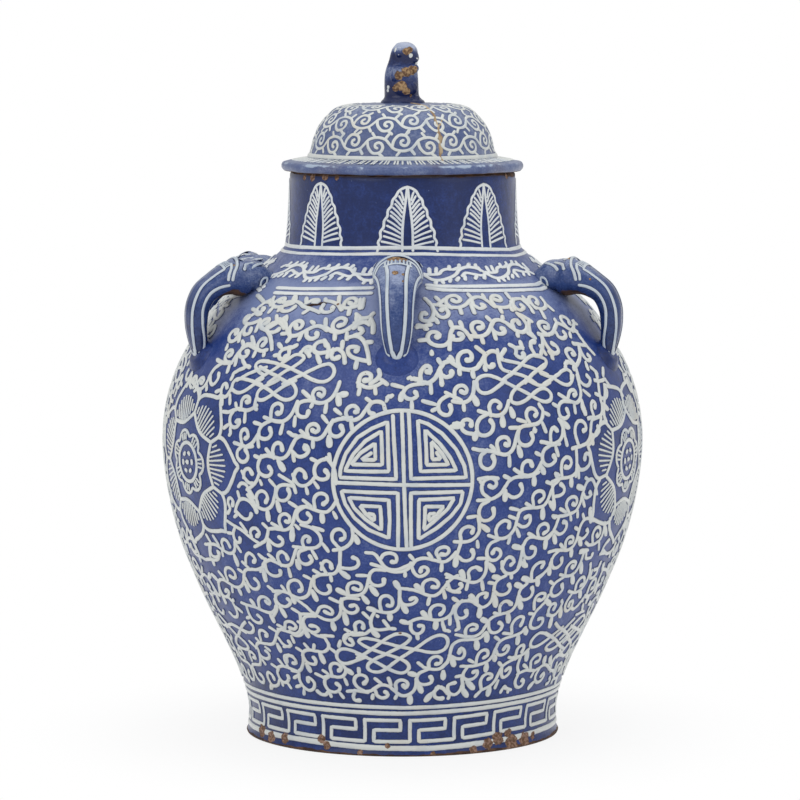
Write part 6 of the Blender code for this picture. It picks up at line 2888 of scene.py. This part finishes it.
@dataclass(frozen=True)
class Studio:
    """A pale floor, soft lamps and the camera.

    Attributes:
        camera_place: in metres.
        camera_tilt: degrees from straight down.
        lens: focal length in millimetres.
        lamps: place, size in metres and power in watts of each soft lamp.
        aim: the place that all of them look at.
        sky: the strength of the white world.
        floor_colour: of the floor where it is lit.
        shadow_span: the metres from the jar over which its shadow fades out.
        near_white: how much of the white of the world the floor has at the jar.
        floor_half: half the floor's side, in metres.
    """

    camera_place: tuple[float, float, float] = (-0.0017, -2.924, 0.5168)
    camera_tilt: float = 84.331
    lens: float = 194.45
    lamps: tuple[tuple[tuple[float, float, float], float, float], ...] = (
        ((-1.7, -2.2, 2.3), 2.6, 24.0),
        ((2.2, -1.6, 1.5), 2.4, 10.0),
        ((0.2, 0.5, 2.6), 2.2, 14.0),
    )
    aim: tuple[float, float, float] = (0.0, 0.0, 0.25)
    sky: float = 0.62
    floor_colour: Colour = (0.86, 0.86, 0.87, 1.0)
    shadow_span: tuple[float, float] = (0.10, 0.28)
    near_white: float = 0.86
    floor_half: float = 40.0

    def make(self) -> None:
        """Sets up everything that isn't the jar."""
        scene = bpy.context.scene
        scene.view_settings.view_transform = "Standard"
        self.set_camera(scene)
        self.set_floor()
        self.set_light(scene)

    def set_camera(self, scene: bpy.types.Scene) -> None:
        """Stands the camera where the photograph was taken from.

        Args:
            scene: the scene.
        """
        data = bpy.data.cameras.new("camera")
        data.lens = self.lens
        data.sensor_width = 36.0
        data.clip_end = 60.0
        camera = bpy.data.objects.new("camera", data)
        camera.location = self.camera_place
        camera.rotation_euler = (math.radians(self.camera_tilt), 0.0, 0.0)
        scene.collection.objects.link(camera)
        scene.camera = camera

    def set_floor(self) -> None:
        """A wide floor that keeps the jar's shadow near it and fades to white far off."""
        bench = Bench("studio_floor")
        bench.shader.inputs["Base Color"].default_value = self.floor_colour
        bench.shader.inputs["Roughness"].default_value = 0.6
        glow = bench.node("ShaderNodeEmission")
        glow.inputs["Strength"].default_value = 1.0
        away = bench.node("ShaderNodeVectorMath", operation="LENGTH")
        bench.feed(away.inputs[0], bench.place)
        far = bench.span(away.outputs["Value"], *self.shadow_span)
        white = bench.math("MULTIPLY_ADD", far, 1.0 - self.near_white, self.near_white)
        rays = bench.node("ShaderNodeLightPath")
        seen = bench.math("MAXIMUM", rays.outputs["Is Camera Ray"], rays.outputs["Is Glossy Ray"])
        blend = bench.node("ShaderNodeMixShader")
        bench.feed(blend.inputs[0], bench.times(white, seen))
        bench.feed(blend.inputs[1], bench.shader.outputs[0])
        bench.feed(blend.inputs[2], glow.outputs[0])
        out = bench.tree.nodes["Material Output"]
        bench.feed(out.inputs["Surface"], blend.outputs[0])
        corners = self.floor_half * np.array(((-1, -1, 0), (1, -1, 0), (1, 1, 0), (-1, 1, 0)))
        floor = put_mesh("studio_floor", corners, np.array(((0, 1, 2, 3),)), bench.finish)

    def set_light(self, scene: bpy.types.Scene) -> None:
        """A white world, brighter to the camera than to the jar, and soft lamps.

        Args:
            scene: the scene.
        """
        world = bpy.data.worlds.new("studio")
        world.use_nodes = True
        tree = world.node_tree
        back = tree.nodes["Background"]
        back.inputs["Color"].default_value = (1.0, 1.0, 1.0, 1.0)
        rays = tree.nodes.new("ShaderNodeLightPath")
        power = tree.nodes.new("ShaderNodeMapRange")
        power.inputs["To Min"].default_value = self.sky
        tree.links.new(rays.outputs["Is Camera Ray"], power.inputs["Value"])
        tree.links.new(power.outputs[0], back.inputs["Strength"])
        scene.world = world
        for k, (place, size, watts) in enumerate(self.lamps):
            data = bpy.data.lights.new(f"lamp_{k}", "AREA")
            data.shape = "DISK"
            data.size = size
            data.energy = watts
            lamp = bpy.data.objects.new(f"lamp_{k}", data)
            away = np.array(place) - self.aim
            lamp.location = place
            yaw = math.atan2(away[0], -away[1])
            pitch = math.atan2(math.hypot(away[0], away[1]), away[2])
            lamp.rotation_euler = (pitch, 0.0, yaw)
            scene.collection.objects.link(lamp)


def head_chips(handles: list[Handle]) -> Table:
    """Where the handles' bare places are, as x, y, z and radius in millimetres.

    Args:
        handles: the handles.

    Returns:
        The spots, as the glaze takes them.
    """
    found = []
    by_place = {handle.place: handle for handle in handles}
    for place, share, angle, radius in HEAD_CHIPS:
        spot = by_place[place].place_at(np.array([share]), np.radians([angle]))[0] / MM
        found.append((*spot.tolist(), radius))
    return tuple(found)


def main() -> None:
    """Builds the studio, the jar and the lid."""
    logging.basicConfig(level=logging.INFO, format="%(name)s: %(message)s")
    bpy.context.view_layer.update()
    Studio().make()
    wall = Wall()
    wall.make(BODY_GLAZE.make())
    handles = [Handle(place, bearing, lift, wall) for place, bearing, lift in HANDLE_PLACES]
    handle_glaze = replace(HANDLE_GLAZE, chips=head_chips(handles)).make()
    pad_glaze = PAD_GLAZE.make()
    for handle in handles:
        handle.make_head(handle_glaze)
        handle.make_pad(pad_glaze)
    WallSlip(wall, handles, BELLY_SLIP.make(), SHOULDER_SLIP.make()).make()
    HandleSlip(handles, HANDLE_SLIP.make()).make()
    shell = LidShell()
    shell.make(LID_GLAZE.make())
    LidSlip(shell, LID_SLIP.make()).make()
    Collar().make(DullClay("bare_collar").make())
    Scars().make(wall, shell, CRACK_MEND.make(), SCRATCH_CLAY.make())
    Beast().make(BEAST_GLAZE.make())


if __name__ == "__main__":
    main()
